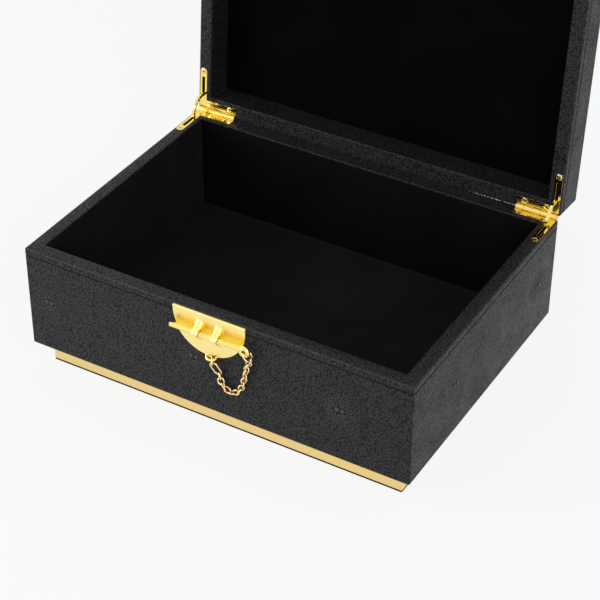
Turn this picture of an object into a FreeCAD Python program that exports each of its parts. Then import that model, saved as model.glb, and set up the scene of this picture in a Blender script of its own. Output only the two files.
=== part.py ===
import FreeCAD, Part
import Sketcher
import math
import os

# A leather-covered jewellery box, its lid standing open on two quadrant stop hinges.
# Origin at the middle of the felt foot, +Z up, the clasp on the front face (-Y), all in mm.
# Boards carry a leather skin outside and velvet panels inside, a brass-banded plinth
# carries the body, and a bolt on a chain slides through the two claws of the clasp.

doc = FreeCAD.newDocument("LiddedBox")

# Driving sizes: name, value in mm (angles in degrees), what it is.
SIZES = (
    ("box_width", 300.0, "outside width over the leather"),
    ("box_depth", 218.0, "outside depth over the leather"),
    ("body_height", 80.6, "leather body of the base, plinth not included"),
    ("lid_height", 29.0, "leather height of the lid"),
    ("seam_gap", 1.0, "gap between the rims of the closed box"),
    ("open_angle", 94.5, "opening angle at which the hinge stays stop the lid"),
    ("edge_radius", 2.0, "rounding of the leather edges"),
    ("leather_thickness", 1.2, "leather skin"),
    ("board_thickness", 8.0, "wall boards of base and lid"),
    ("lining_thickness", 1.1, "lining of the inner walls"),
    ("floor_board", 3.0, "floor board of the base"),
    ("floor_pad", 1.4, "velvet pad on the floor board"),
    ("lid_board", 4.0, "top board of the lid"),
    ("lid_pad", 1.1, "velvet panel in the lid"),
    ("turn_in", 14.0, "width of leather turned in under the base"),
    ("plinth_height", 16.5, "visible height of the brass band"),
    ("plinth_inset", 10.0, "how far the band stands back under the leather body"),
    ("band_thickness", 0.8, "brass sheet of the band"),
    ("felt_thickness", 1.2, "felt under the plinth"),
    ("felt_inset", 1.0, "felt edge behind the band"),
    ("plinth_screw_x", 112.0, "plinth screws from the middle, across"),
    ("plinth_screw_y", 72.0, "plinth screws from the middle, in depth"),
    ("plinth_screw_length", 15.0, "plinth screw, head included"),
    ("axis_setback", 1.0, "hinge axis behind the back face"),
    ("leaf_thickness", 2.0, "hinge leaf, flush with its rim"),
    ("leg_length", 31.8, "leaf leg along the back rim"),
    ("leg_reach", 8.0, "front edge of that leg from the hinge axis"),
    ("arm_width", 5.8, "leaf arm along the side rim"),
    ("arm_reach", 31.5, "centre of the arm's round end from the hinge axis"),
    ("knuckle_gap", 0.2, "gap between knuckles"),
    ("barrel_gap", 0.3, "room round the barrel"),
    ("mortise_gap", 0.1, "room round a leaf in its mortise"),
    ("pin_radius", 1.1, "hinge pin"),
    ("pin_gap", 0.05, "running clearance of the pin"),
    ("slot_end", 27.0, "far end of the arm's slot from the hinge axis"),
    ("slot_depth", 5.0, "depth of the hollow under the slot, leaf included"),
    ("stay_radius", 13.0, "middle of the curved stay from the hinge axis"),
    ("stay_width", 2.4, "stay, across its curve"),
    ("stay_thickness", 1.8, "stay, along the hinge axis"),
    ("stay_lap", 17.5, "angle by which the stay's lugs lie beyond each rim"),
    ("stay_gap", 0.3, "room beside the stay in its slots"),
    ("lug_radius", 1.1, "stop lugs of the stay"),
    ("lug_length", 4.2, "stop lugs, along the hinge axis"),
    ("pocket_gap", 0.4, "room round the stay in its wall pocket"),
    ("screw_head", 2.2, "radius of a countersunk head"),
    ("screw_shank", 1.1, "radius of a screw shank"),
    ("screw_length", 12.0, "hinge screw, head included"),
    ("screw_gap", 0.06, "room round a screw"),
    ("leg_screw_reach", 5.6, "leg screws from the hinge axis"),
    ("leg_screw_inset", 5.5, "outer leg screws from the leg's free end"),
    ("leg_screw_pitch", 17.0, "distance between the two leg screws"),
    ("relief_length", 11.6, "relief slot in the lid leaf"),
    ("relief_width", 1.5, "relief slot in the lid leaf"),
    ("plate_radius", 28.0, "half disc of the clasp plate"),
    ("plate_side", 4.2, "straight sides above the half disc"),
    ("plate_drop", 0.6, "plate edge from the rim"),
    ("plate_thickness", 1.8, "clasp plates"),
    ("plate_rounding", 0.6, "front edge of the clasp plates"),
    ("channel_radius", 10.0, "hollow channel behind the bolt"),
    ("channel_depth", 0.9, "its depth in the plate"),
    ("lid_plate_height", 24.0, "clasp plate on the lid"),
    ("lid_plate_side", 3.0, "its straight sides"),
    ("bolt_radius", 1.8, "sliding bolt"),
    ("bolt_drop", 13.9, "bolt axis under the base rim"),
    ("bolt_left", 28.0, "left end of the bolt from the middle"),
    ("bolt_right", 27.2, "right end of the rod, in the middle of the grip's rim"),
    ("bolt_nose", 0.8, "chamfer of its free end"),
    ("bolt_gap", 0.08, "running clearance of the bolt in the claws"),
    ("eye_radius", 2.6, "ring-shaped grip at the bolt's right end"),
    ("eye_wire", 1.6, "its thickness radius"),
    ("eye_drop", 1.2, "grip centre under the bolt axis"),
    ("claw_spread", 7.35, "middle of each claw from the middle of the plate"),
    ("claw_width", 6.2, "claw round the bolt"),
    ("claw_wall", 1.5, "metal round the bolt in a claw"),
    ("claw_flare", 3.2, "hollow curve from claw to plate"),
    ("claw_tip", 2.2, "width of the claw's pointed roots"),
    ("keeper_width", 6.2, "tongue of the lid that drops between the claws"),
    ("keeper_thickness", 1.8, "that tongue"),
    ("keeper_wall", 1.2, "metal round the keeper's eye"),
    ("keeper_room", 0.5, "room round the bolt in the keeper's eye"),
    ("keeper_gap", 0.4, "tongue in front of the base plate"),
    ("keeper_rise", 8.0, "root of the tongue on the lid plate"),
    ("clasp_screw_x", 16.0, "side screws of the clasp plates from the middle"),
    ("clasp_screw_rise", 5.5, "side screws from the base plate's upper edge"),
    ("clasp_screw_low", 25.5, "low screw from the base plate's upper edge"),
    ("lid_screw_rise", 7.5, "side screws from the lid plate's lower edge"),
    ("lid_screw_high", 18.5, "upper screw from the lid plate's lower edge"),
    ("clasp_screw_bite", 1.1, "depth of a clasp screw in its plate"),
    ("lug_offset", 1.4, "chain lug right of the middle"),
    ("lug_reach", 1.0, "centre of its loop in front of the leather"),
    ("lug_drop", 0.6, "its loop under the plate's lowest point"),
    ("lug_radius_mid", 3.7, "its loop, to the middle of the wire"),
    ("lug_wire", 0.9, "its wire radius"),
    ("lug_root", 1.2, "web that joins it to the plate"),
    ("hook_radius", 2.5, "small ring in the chain lug"),
    ("hook_wire", 0.55, "its wire radius"),
    ("oval_radius", 2.7, "round ends of the long ring under it"),
    ("oval_side", 5.2, "its straight sides"),
    ("oval_wire", 0.6, "its wire radius"),
    ("ring_play", 0.1, "play between linked rings"),
    ("jump_radius", 3.6, "jump ring on the bolt"),
    ("jump_wire", 0.55, "its wire radius"),
    ("link_length", 5.0, "chain link over all"),
    ("link_width", 3.2, "chain link over all"),
    ("link_wire", 0.7, "chain link wire"),
    ("link_pitch", 3.15, "distance from link to link"),
)

sheet = doc.addObject("Spreadsheet::Sheet", "Sizes")
for row, (alias, value, note) in enumerate(SIZES, start=1):
    sheet.set(f"A{row}", alias)
    sheet.set(f"B{row}", str(value))
    sheet.set(f"C{row}", note)
    sheet.setAlias(f"B{row}", alias)
doc.recompute()

# Places worked out from the driving sizes, as expressions.
HALF_WIDTH = "(Sizes.box_width / 2)"
HALF_DEPTH = "(Sizes.box_depth / 2)"
BOARD_X = f"({HALF_WIDTH} - Sizes.leather_thickness)"
BOARD_Y = f"({HALF_DEPTH} - Sizes.leather_thickness)"
LINING_X = f"({BOARD_X} - Sizes.board_thickness)"
LINING_Y = f"({BOARD_Y} - Sizes.board_thickness)"
ROOM_X = f"({LINING_X} - Sizes.lining_thickness)"
ROOM_Y = f"({LINING_Y} - Sizes.lining_thickness)"
BODY_BOTTOM = "(Sizes.felt_thickness + Sizes.plinth_height)"
BOARD_BOTTOM = f"({BODY_BOTTOM} + Sizes.leather_thickness)"
FLOOR_TOP = f"({BOARD_BOTTOM} + Sizes.floor_board)"
RIM_TOP = f"({BODY_BOTTOM} + Sizes.body_height)"
BOARD_TOP = f"({RIM_TOP} - Sizes.leather_thickness)"
LID_BOTTOM = f"({RIM_TOP} + Sizes.seam_gap)"
LID_TOP = f"({LID_BOTTOM} + Sizes.lid_height)"
LID_BOARD_BOTTOM = f"({LID_BOTTOM} + Sizes.leather_thickness)"
LID_BOARD_TOP = f"({LID_TOP} - Sizes.leather_thickness)"
LID_ROOF = f"({LID_BOARD_TOP} - Sizes.lid_board)"
AXIS_Y = f"({HALF_DEPTH} + Sizes.axis_setback)"
AXIS_Z = f"({RIM_TOP} + Sizes.seam_gap / 2)"
PLINTH_X = f"({HALF_WIDTH} - Sizes.plinth_inset)"
PLINTH_Y = f"({HALF_DEPTH} - Sizes.plinth_inset)"
BARREL_RADIUS = "(Sizes.leaf_thickness + Sizes.seam_gap / 2)"
LEAF_BACK = f"({AXIS_Y} - {BARREL_RADIUS} - Sizes.barrel_gap)"
LEAF_BOTTOM = f"({RIM_TOP} - Sizes.leaf_thickness)"
LEG_END = f"({BOARD_X} - Sizes.leg_length)"
ARM_X = f"({BOARD_X} - Sizes.arm_width / 2)"
FRONT_Y = f"(-{HALF_DEPTH})"
PLATE_FACE = f"({FRONT_Y} - Sizes.plate_thickness)"
PLATE_TOP = f"({RIM_TOP} - Sizes.plate_drop)"
PLATE_CENTRE = f"({PLATE_TOP} - Sizes.plate_side)"
PLATE_FOOT = f"({PLATE_CENTRE} - Sizes.plate_radius)"
LID_PLATE_FOOT = f"({LID_BOTTOM} + Sizes.plate_drop)"
KEEPER_EYE = "(Sizes.bolt_radius + Sizes.keeper_room + Sizes.keeper_wall)"
BOLT_Y = f"({PLATE_FACE} - Sizes.keeper_gap - {KEEPER_EYE})"
BOLT_Z = f"({RIM_TOP} - Sizes.bolt_drop)"
BEYOND = "Sizes.board_thickness"          # how far a cutter runs past the face it opens


def number(expression):
    """The present value of an expression, in mm or degrees."""
    value = sheet.evalExpression(expression)
    return float(getattr(value, "Value", value))


def bind(piece, **expressions):
    """Bind properties of a piece; a double underscore stands for a dot."""
    for name, expression in expressions.items():
        piece.setExpression(name.replace("__", "."), expression)
    return piece


# Part shapes between expression-bound planes

def block(name, x, y, z):
    """A box between two planes on each axis."""
    piece = doc.addObject("Part::Box", name)
    bind(piece, Placement__Base__x=x[0], Placement__Base__y=y[0], Placement__Base__z=z[0])
    bind(piece, Length=f"{x[1]} - ({x[0]})", Width=f"{y[1]} - ({y[0]})", Height=f"{z[1]} - ({z[0]})")
    return piece


TURNS = {
    "x": FreeCAD.Rotation(FreeCAD.Vector(0, 1, 0), 90),
    "y": FreeCAD.Rotation(FreeCAD.Vector(1, 0, 0), -90),
    "z": FreeCAD.Rotation(),
    "-y": FreeCAD.Rotation(FreeCAD.Vector(1, 0, 0), 90),
    "-z": FreeCAD.Rotation(FreeCAD.Vector(1, 0, 0), 180),
}


def turned(kind, name, direction, x, y, z):
    """A round Part primitive that stands on (x, y, z) and points along direction."""
    piece = doc.addObject(kind, name)
    piece.Placement = FreeCAD.Placement(FreeCAD.Vector(), TURNS[direction])
    return bind(piece, Placement__Base__x=x, Placement__Base__y=y, Placement__Base__z=z)


def rod(name, direction, x, y, z, radius, length):
    piece = turned("Part::Cylinder", name, direction, x, y, z)
    return bind(piece, Radius=radius, Height=length)


def screw(name, direction, x, y, z, length, room="0"):
    """A countersunk screw whose flat head lies at (x, y, z); with room, its hole."""
    head = turned("Part::Cone", name + "_head", direction, x, y, z)
    bind(head, Radius1=f"Sizes.screw_head + {room}", Radius2=f"Sizes.screw_shank + {room}")
    bind(head, Height="Sizes.screw_head - Sizes.screw_shank")
    shank = rod(name + "_shank", direction, x, y, z, f"Sizes.screw_shank + {room}", length)
    return fuse(name, head, shank)


def fuse(name, *pieces):
    piece = doc.addObject("Part::MultiFuse", name)
    piece.Shapes = list(pieces)
    return piece


def cut(name, base, *tools):
    piece = doc.addObject("Part::Cut", name)
    piece.Base = base
    piece.Tool = tools[0] if len(tools) == 1 else fuse(name + "_tools", *tools)
    return piece


def common(name, first, second):
    piece = doc.addObject("Part::MultiCommon", name)
    piece.Shapes = [first, second]
    return piece


def group(name, *pieces):
    """Separate solids kept in one sub-part."""
    piece = doc.addObject("Part::Compound", name)
    piece.Links = list(pieces)
    return piece


def mirrored_x(name, source):
    piece = doc.addObject("Part::Mirroring", name)
    piece.Source = source
    piece.Normal = (1, 0, 0)
    return piece


def mirrored_seam(name, source):
    """Mirror image above the middle of the seam, for what the closed lid shares."""
    piece = doc.addObject("Part::Mirroring", name)
    piece.Source = source
    piece.Normal = (0, 0, 1)
    return bind(piece, Base__z=AXIS_Z)


# Sketches on the origin planes of a body

def new_body(name):
    return doc.addObject("PartDesign::Body", name)


def new_sketch(body, name, plane, away="0"):
    """A sketch on one of the body's own planes, moved away along its normal."""
    sketch = body.newObject("Sketcher::SketchObject", name)
    support = [item for item in body.Origin.OriginFeatures if item.Role == plane][0]
    sketch.AttachmentSupport = [(support, "")]
    sketch.MapMode = "FlatFace"
    sketch.setExpression(".AttachmentOffset.Base.z", away)
    return sketch


def hold(sketch, kind, *place_and_value):
    """A dimension bound to an expression, which is its last argument."""
    place, expression = place_and_value[:-1], place_and_value[-1]
    index = sketch.addConstraint(Sketcher.Constraint(kind, *place, number(expression)))
    sketch.setExpression(f"Constraints[{index}]", expression)


def hold_point(sketch, edge, end, across, up):
    hold(sketch, "DistanceX", -1, 1, edge, end, across)
    hold(sketch, "DistanceY", -1, 1, edge, end, up)


def spot(corner):
    """The place of an (across, up) pair of expressions."""
    return FreeCAD.Vector(number(corner[0]), number(corner[1]), 0)


def outline(sketch, *corners):
    """A closed outline through corners given as (across, up) expressions.

    A corner with more to it, (across, up, centre across, centre up, turn), starts an arc
    about that centre, anticlockwise for turn 1 and clockwise for turn -1.
    """
    ends = []
    for index, corner in enumerate(corners):
        start = spot(corner)
        stop = spot(corners[(index + 1) % len(corners)])
        if len(corner) == 2:
            edge = sketch.addGeometry(Part.LineSegment(start, stop), False)
            ends.append((edge, 1, 2))
            continue
        centre, turn = spot(corner[2:4]), corner[4]
        first, last = (start - centre, stop - centre)[::turn]
        from_angle = math.atan2(first.y, first.x)
        to_angle = math.atan2(last.y, last.x)
        if to_angle <= from_angle:
            to_angle += 2 * math.pi
        ring = Part.Circle(centre, FreeCAD.Vector(0, 0, 1), first.Length)
        edge = sketch.addGeometry(Part.ArcOfCircle(ring, from_angle, to_angle), False)
        hold_point(sketch, edge, 3, *corner[2:4])
        ends.append((edge, *(1, 2)[::turn]))
    for index, (edge, start_end, stop_end) in enumerate(ends):
        following, its_start, _ = ends[(index + 1) % len(ends)]
        sketch.addConstraint(Sketcher.Constraint("Coincident", edge, stop_end, following, its_start))
        corner, before = corners[index], corners[index - 1]
        if len(before) == 2:
            hold_point(sketch, edge, start_end, *corner[:2])
            continue
        # The end of an arc already lies on its circle, so one coordinate settles it.
        spoke = spot(corner) - spot(before[2:4])
        if abs(spoke.y) > abs(spoke.x):
            hold(sketch, "DistanceX", -1, 1, edge, start_end, corner[0])
        else:
            hold(sketch, "DistanceY", -1, 1, edge, start_end, corner[1])


def circle(sketch, across, up, radius):
    centre = FreeCAD.Vector(number(across), number(up), 0)
    edge = sketch.addGeometry(Part.Circle(centre, FreeCAD.Vector(0, 0, 1), number(radius)), False)
    hold(sketch, "Radius", edge, radius)
    hold_point(sketch, edge, 3, across, up)


def pad(body, name, sketch, length, both_ways=False, back=False):
    feature = body.newObject("PartDesign::Pad", name)
    feature.Profile = sketch
    feature.SideType = "Symmetric" if both_ways else "One side"
    feature.Reversed = back
    feature.setExpression("Length", length)
    return feature


def pocket(body, name, sketch, length):
    """A pocket that cuts the same length to both sides of its sketch together."""
    feature = body.newObject("PartDesign::Pocket", name)
    feature.Profile = sketch
    feature.SideType = "Symmetric"
    feature.setExpression("Length", length)
    return feature


# Sub-parts: node name to object
NODES = {}


def node(name, piece):
    piece.Label = name
    NODES[name] = piece
    return piece


def lid_node(name, closed):
    """A piece of the lid, drawn closed and swung open about the hinge axis."""
    piece = group(name, closed)
    piece.Placement = FreeCAD.Placement(FreeCAD.Vector(), FreeCAD.Rotation(FreeCAD.Vector(1, 0, 0), -90))
    turn_cos = "cos(Sizes.open_angle)"
    turn_sin = "sin(Sizes.open_angle)"
    bind(piece, Placement__Rotation__Angle="-Sizes.open_angle")
    bind(piece, Placement__Base__y=f"{AXIS_Y} - {AXIS_Y} * {turn_cos} - {AXIS_Z} * {turn_sin}")
    bind(piece, Placement__Base__z=f"{AXIS_Z} + {AXIS_Y} * {turn_sin} - {AXIS_Z} * {turn_cos}")
    return node(name, piece)


def span(value):
    """From minus to plus an expression."""
    return (f"-{value}", value)


def screws(name, gather, direction, places, length, room="0"):
    """Screws at places given as (x, y, z), or with room the holes for them."""
    ways = [screw(f"{name}_{index}", direction, *place, f"{length} + {room}", room)
            for index, place in enumerate(places, start=1)]
    return gather(name, *ways)


# Hinge screws: two in the leg, one in the arm's round end, drawn on the right of the base.
LEG_SCREW_Y = f"({AXIS_Y} - Sizes.leg_screw_reach)"
LEG_SCREW_X = f"({LEG_END} + Sizes.leg_screw_inset)"
HINGE_SCREWS = (
    (LEG_SCREW_X, LEG_SCREW_Y, RIM_TOP),
    (f"({LEG_SCREW_X} + Sizes.leg_screw_pitch)", LEG_SCREW_Y, RIM_TOP),
    (ARM_X, f"({AXIS_Y} - Sizes.arm_reach)", RIM_TOP),
)
right_screws = screws("right_screws", group, "-z", HINGE_SCREWS, "Sizes.screw_length")
right_screw_holes = screws("right_screw_holes", fuse, "-z", HINGE_SCREWS, "Sizes.screw_length",
                           "Sizes.screw_gap")


def hinge_mortise():
    """All that the right hinge needs cut out of the base: seat, barrel, stay and screws."""
    room = "Sizes.mortise_gap"
    height = (LEAF_BOTTOM, AXIS_Z)
    outer = f"({BOARD_X} + {room})"
    leg = block("leg_seat", (f"({LEG_END} - {room})", outer),
                (f"({AXIS_Y} - Sizes.leg_reach - {room})", AXIS_Y), height)
    arm = block("arm_seat", (f"({BOARD_X} - Sizes.arm_width - {room})", outer),
                (f"({AXIS_Y} - Sizes.arm_reach)", AXIS_Y), height)
    end = rod("arm_end_seat", "z", ARM_X, f"{AXIS_Y} - Sizes.arm_reach", LEAF_BOTTOM,
              f"Sizes.arm_width / 2 + {room}", f"{AXIS_Z} - {LEAF_BOTTOM}")
    barrel = rod("barrel_seat", "x", f"{LEG_END} - {room}", AXIS_Y, AXIS_Z,
                 f"{BARREL_RADIUS} + Sizes.barrel_gap", f"Sizes.leg_length + 2 * {room}")
    reach = "(Sizes.stay_radius + Sizes.stay_width / 2 + Sizes.pocket_gap)"
    core = "(Sizes.stay_radius - Sizes.stay_width / 2 - Sizes.pocket_gap)"
    across = "(Sizes.lug_length / 2 + Sizes.pocket_gap)"
    ring = cut("stay_track", rod("stay_track_rim", "x", f"{ARM_X} - {across}", AXIS_Y, AXIS_Z, reach,
                                 f"2 * {across}"),
               rod("stay_track_core", "x", f"{ARM_X} - {across}", AXIS_Y, AXIS_Z, core, f"2 * {across}"))
    shut_angle = "(Sizes.open_angle / 2 + Sizes.stay_lap)"
    stop = f"(Sizes.stay_radius * cos({shut_angle}) - Sizes.lug_radius - Sizes.pocket_gap)"
    quarter = block("stay_quarter", (f"({ARM_X} - {across})", f"({ARM_X} + {across})"),
                    (f"({AXIS_Y} - {reach})", f"({AXIS_Y} - {stop})"),
                    (f"({AXIS_Z} - {reach})", AXIS_Z))
    pocket_room = common("stay_pocket", ring, quarter)
    slot = "(Sizes.stay_thickness / 2 + Sizes.stay_gap)"
    hollow = block("slot_hollow", (f"({ARM_X} - {slot})", f"({ARM_X} + {slot})"),
                   (f"({AXIS_Y} - Sizes.slot_end)", f"({AXIS_Y} - Sizes.stay_radius)"),
                   (f"({RIM_TOP} - Sizes.slot_depth)", AXIS_Z))
    return fuse("right_mortise", leg, arm, end, barrel, pocket_room, hollow, right_screw_holes)


right_mortise = hinge_mortise()
base_mortises = fuse("base_mortises", right_mortise, mirrored_x("left_mortise", right_mortise))
lid_mortises = mirrored_seam("lid_mortises", base_mortises)


# Clasp screws, driven from inside the front walls into the backs of the two plates.
CLASP_SCREW_LENGTH = "(Sizes.board_thickness + Sizes.leather_thickness + Sizes.clasp_screw_bite)"
BASE_CLASP_SCREWS = (
    ("-Sizes.clasp_screw_x", f"-{LINING_Y}", f"{PLATE_TOP} - Sizes.clasp_screw_rise"),
    ("Sizes.clasp_screw_x", f"-{LINING_Y}", f"{PLATE_TOP} - Sizes.clasp_screw_rise"),
    ("0", f"-{LINING_Y}", f"{PLATE_TOP} - Sizes.clasp_screw_low"),
)
LID_CLASP_SCREWS = (
    ("-Sizes.clasp_screw_x", f"-{LINING_Y}", f"{LID_PLATE_FOOT} + Sizes.lid_screw_rise"),
    ("Sizes.clasp_screw_x", f"-{LINING_Y}", f"{LID_PLATE_FOOT} + Sizes.lid_screw_rise"),
    ("0", f"-{LINING_Y}", f"{LID_PLATE_FOOT} + Sizes.lid_screw_high"),
)
base_clasp_holes = screws("base_clasp_holes", fuse, "-y", BASE_CLASP_SCREWS, CLASP_SCREW_LENGTH,
                          "Sizes.screw_gap")
lid_clasp_holes = screws("lid_clasp_holes", fuse, "-y", LID_CLASP_SCREWS, CLASP_SCREW_LENGTH,
                         "Sizes.screw_gap")


# Leather skins: a padded block with every edge rounded, hollowed for the boards.
def rounded_block(name, bottom, height):
    body = new_body(name)
    plan = new_sketch(body, name + "_plan", "XY_Plane", bottom)
    outline(plan, (f"-{HALF_WIDTH}", f"-{HALF_DEPTH}"), (HALF_WIDTH, f"-{HALF_DEPTH}"),
            (HALF_WIDTH, HALF_DEPTH), (f"-{HALF_WIDTH}", HALF_DEPTH))
    raised = pad(body, name + "_pad", plan, height)
    doc.recompute()
    rounding = body.newObject("PartDesign::Fillet", name + "_rounding")
    rounding.Base = (raised, ["Edge1"])
    rounding.UseAllEdges = True
    rounding.setExpression("Radius", "Sizes.edge_radius")
    return body


def base_leather():
    skin = rounded_block("base_skin", BODY_BOTTOM, "Sizes.body_height")
    boards = block("base_boards", span(BOARD_X), span(BOARD_Y), (BOARD_BOTTOM, BOARD_TOP))
    mouth = block("base_mouth", span(ROOM_X), span(ROOM_Y), (BOARD_TOP, f"({RIM_TOP} + {BEYOND})"))
    under = block("base_under", span(f"({BOARD_X} - Sizes.turn_in)"), span(f"({BOARD_Y} - Sizes.turn_in)"),
                  (f"({BODY_BOTTOM} - {BEYOND})", BOARD_BOTTOM))
    return cut("base_leather_cut", skin, boards, mouth, under, base_mortises, base_clasp_holes)


def lid_leather():
    skin = rounded_block("lid_skin", LID_BOTTOM, "Sizes.lid_height")
    boards = block("lid_boards", span(BOARD_X), span(BOARD_Y), (LID_BOARD_BOTTOM, LID_BOARD_TOP))
    mouth = block("lid_mouth", span(ROOM_X), span(ROOM_Y), (f"({LID_BOTTOM} - {BEYOND})", LID_BOARD_BOTTOM))
    return cut("lid_leather_cut", skin, boards, mouth, lid_mortises, lid_clasp_holes)


node("base_leather_cover", base_leather())
lid_node("lid_leather_cover", lid_leather())


# Boards: front and back run the full width, the sides stand between them.
def wall(name, side, height):
    """One wall board, drawn closed."""
    spans = {
        "front": (span(BOARD_X), (f"-{BOARD_Y}", f"-{LINING_Y}")),
        "back": (span(BOARD_X), (LINING_Y, BOARD_Y)),
        "left": ((f"-{BOARD_X}", f"-{LINING_X}"), span(LINING_Y)),
        "right": ((LINING_X, BOARD_X), span(LINING_Y)),
    }
    return block(name, *spans[side], height)


BASE_HEIGHT = (BOARD_BOTTOM, BOARD_TOP)
LID_HEIGHT = (LID_BOARD_BOTTOM, LID_BOARD_TOP)
for side, base_tool, lid_tool in (("front", base_clasp_holes, lid_clasp_holes),
                                  ("back", base_mortises, lid_mortises),
                                  ("left", base_mortises, lid_mortises),
                                  ("right", base_mortises, lid_mortises)):
    base_board = wall(f"base_{side}_blank", side, BASE_HEIGHT)
    node(f"base_{side}_wall", cut(f"base_{side}_cut", base_board, base_tool))
    lid_board = wall(f"lid_{side}_blank", side, LID_HEIGHT)
    lid_node(f"lid_{side}_wall", cut(f"lid_{side}_cut", lid_board, lid_tool))

PLINTH_SCREWS = [(f"{x_sign}Sizes.plinth_screw_x", f"{y_sign}Sizes.plinth_screw_y", FLOOR_TOP)
                 for x_sign in ("-", "") for y_sign in ("-", "")]
PLINTH_SCREW_LENGTH = "Sizes.plinth_screw_length"
plinth_holes = screws("plinth_holes", fuse, "-z", PLINTH_SCREWS, PLINTH_SCREW_LENGTH, "Sizes.screw_gap")
floor_blank = block("floor_blank", span(LINING_X), span(LINING_Y), (BOARD_BOTTOM, FLOOR_TOP))
node("base_floor_board", cut("floor_cut", floor_blank, plinth_holes))
node("plinth_screws", screws("plinth_screw_set", group, "-z", PLINTH_SCREWS, PLINTH_SCREW_LENGTH))

# Velvet panels in the base
LINING_HEIGHT = (FLOOR_TOP, BOARD_TOP)
LININGS = {
    "front": (span(LINING_X), (f"-{LINING_Y}", f"-{ROOM_Y}")),
    "back": (span(LINING_X), (ROOM_Y, LINING_Y)),
    "left": ((f"-{LINING_X}", f"-{ROOM_X}"), span(ROOM_Y)),
    "right": ((ROOM_X, LINING_X), span(ROOM_Y)),
}
for side, (across, deep) in LININGS.items():
    node(f"base_lining_{side}", block(f"lining_{side}", across, deep, LINING_HEIGHT))
PAD_HEIGHT = (FLOOR_TOP, f"({FLOOR_TOP} + Sizes.floor_pad)")
node("base_floor_pad", block("floor_pad", span(ROOM_X), span(ROOM_Y), PAD_HEIGHT))

# Lid: top board, velvet panel and the leather band round its inner walls
lid_top = block("lid_top_blank", span(LINING_X), span(LINING_Y), (LID_ROOF, LID_BOARD_TOP))
lid_node("lid_top_board", lid_top)
LID_PAD_FACE = f"({LID_ROOF} - Sizes.lid_pad)"
lid_pad = block("lid_pad_blank", span(LINING_X), span(LINING_Y), (LID_PAD_FACE, LID_ROOF))
lid_node("lid_velvet_panel", lid_pad)
band_outside = block("band_outside", span(LINING_X), span(LINING_Y), (LID_BOARD_BOTTOM, LID_PAD_FACE))
band_inside = block("band_inside", span(ROOM_X), span(ROOM_Y), (LID_BOTTOM, LID_ROOF))
lid_node("lid_inner_leather", cut("lid_band", band_outside, band_inside))

# Plinth: wooden core in a mitred brass band, on felt
CORE_X = f"({PLINTH_X} - Sizes.band_thickness)"
CORE_Y = f"({PLINTH_Y} - Sizes.band_thickness)"
PLINTH_RISE = ("Sizes.felt_thickness", BODY_BOTTOM)
core_blank = block("plinth_blank", span(CORE_X), span(CORE_Y), PLINTH_RISE)
node("plinth_core", cut("plinth_cut", core_blank, plinth_holes))
band_blank = block("brass_blank", span(PLINTH_X), span(PLINTH_Y), PLINTH_RISE)
band_bore = block("brass_bore", span(CORE_X), span(CORE_Y), (f"-{BEYOND}", f"{BODY_BOTTOM} + {BEYOND}"))
node("plinth_band", cut("brass_band", band_blank, band_bore))
felt_x = f"({PLINTH_X} - Sizes.felt_inset)"
felt_y = f"({PLINTH_Y} - Sizes.felt_inset)"
node("foot_felt", block("felt", span(felt_x), span(felt_y), ("0", "Sizes.felt_thickness")))


# Hinge leaves, drawn as right-hand leaves of the base: an L of leg and slotted arm,
# with knuckles rolled tangentially off the leg.
KNUCKLES = 5
KNUCKLE_PITCH = f"(Sizes.leg_length / {KNUCKLES})"


def hinge_leaf(name, first_knuckle):
    body = new_body(name)
    plate = new_sketch(body, name + "_outline", "XY_Plane", RIM_TOP)
    arm_inner = f"({BOARD_X} - Sizes.arm_width)"
    leg_front = f"({AXIS_Y} - Sizes.leg_reach)"
    arm_front = f"({AXIS_Y} - Sizes.arm_reach)"
    outline(plate, (LEG_END, leg_front), (arm_inner, leg_front), (arm_inner, arm_front),
            (BOARD_X, arm_front), (BOARD_X, LEAF_BACK), (LEG_END, LEAF_BACK))
    pad(body, name + "_plate", plate, "Sizes.leaf_thickness", back=True)
    end = new_sketch(body, name + "_end", "XY_Plane", RIM_TOP)
    circle(end, ARM_X, arm_front, "Sizes.arm_width / 2")
    pad(body, name + "_round_end", end, "Sizes.leaf_thickness", back=True)
    half_slot = "(Sizes.stay_thickness / 2 + Sizes.stay_gap)"
    near = f"({AXIS_Y} - Sizes.stay_radius + Sizes.stay_width / 2 + 2 * Sizes.stay_gap)"
    far = f"({AXIS_Y} - Sizes.slot_end)"
    slot = new_sketch(body, name + "_slot", "XY_Plane", RIM_TOP)
    outline(slot, (f"{ARM_X} - {half_slot}", far), (f"{ARM_X} + {half_slot}", far),
            (f"{ARM_X} + {half_slot}", near), (f"{ARM_X} - {half_slot}", near))
    pocket(body, name + "_slot_cut", slot, "4 * Sizes.leaf_thickness")
    start = f"{LEG_END} + {first_knuckle} * {KNUCKLE_PITCH} + Sizes.knuckle_gap / 2"
    profile = new_sketch(body, name + "_knuckle_profile", "YZ_Plane", start)
    knuckle_outline(profile)
    knuckle = pad(body, name + "_knuckle", profile, f"{KNUCKLE_PITCH} - Sizes.knuckle_gap")
    row = body.newObject("PartDesign::LinearPattern", name + "_knuckles")
    row.Originals = [knuckle]
    row.Direction = (profile, ["N_Axis"])
    row.Occurrences = (KNUCKLES - first_knuckle + 1) // 2
    row.setExpression("Length", f"{2 * (row.Occurrences - 1)} * {KNUCKLE_PITCH}")
    body.Tip = row
    bore = new_sketch(body, name + "_bore", "YZ_Plane", LEG_END)
    circle(bore, AXIS_Y, AXIS_Z, "Sizes.pin_radius + Sizes.pin_gap")
    pocket(body, name + "_bore_cut", bore, "4 * Sizes.leg_length")
    return body


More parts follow.
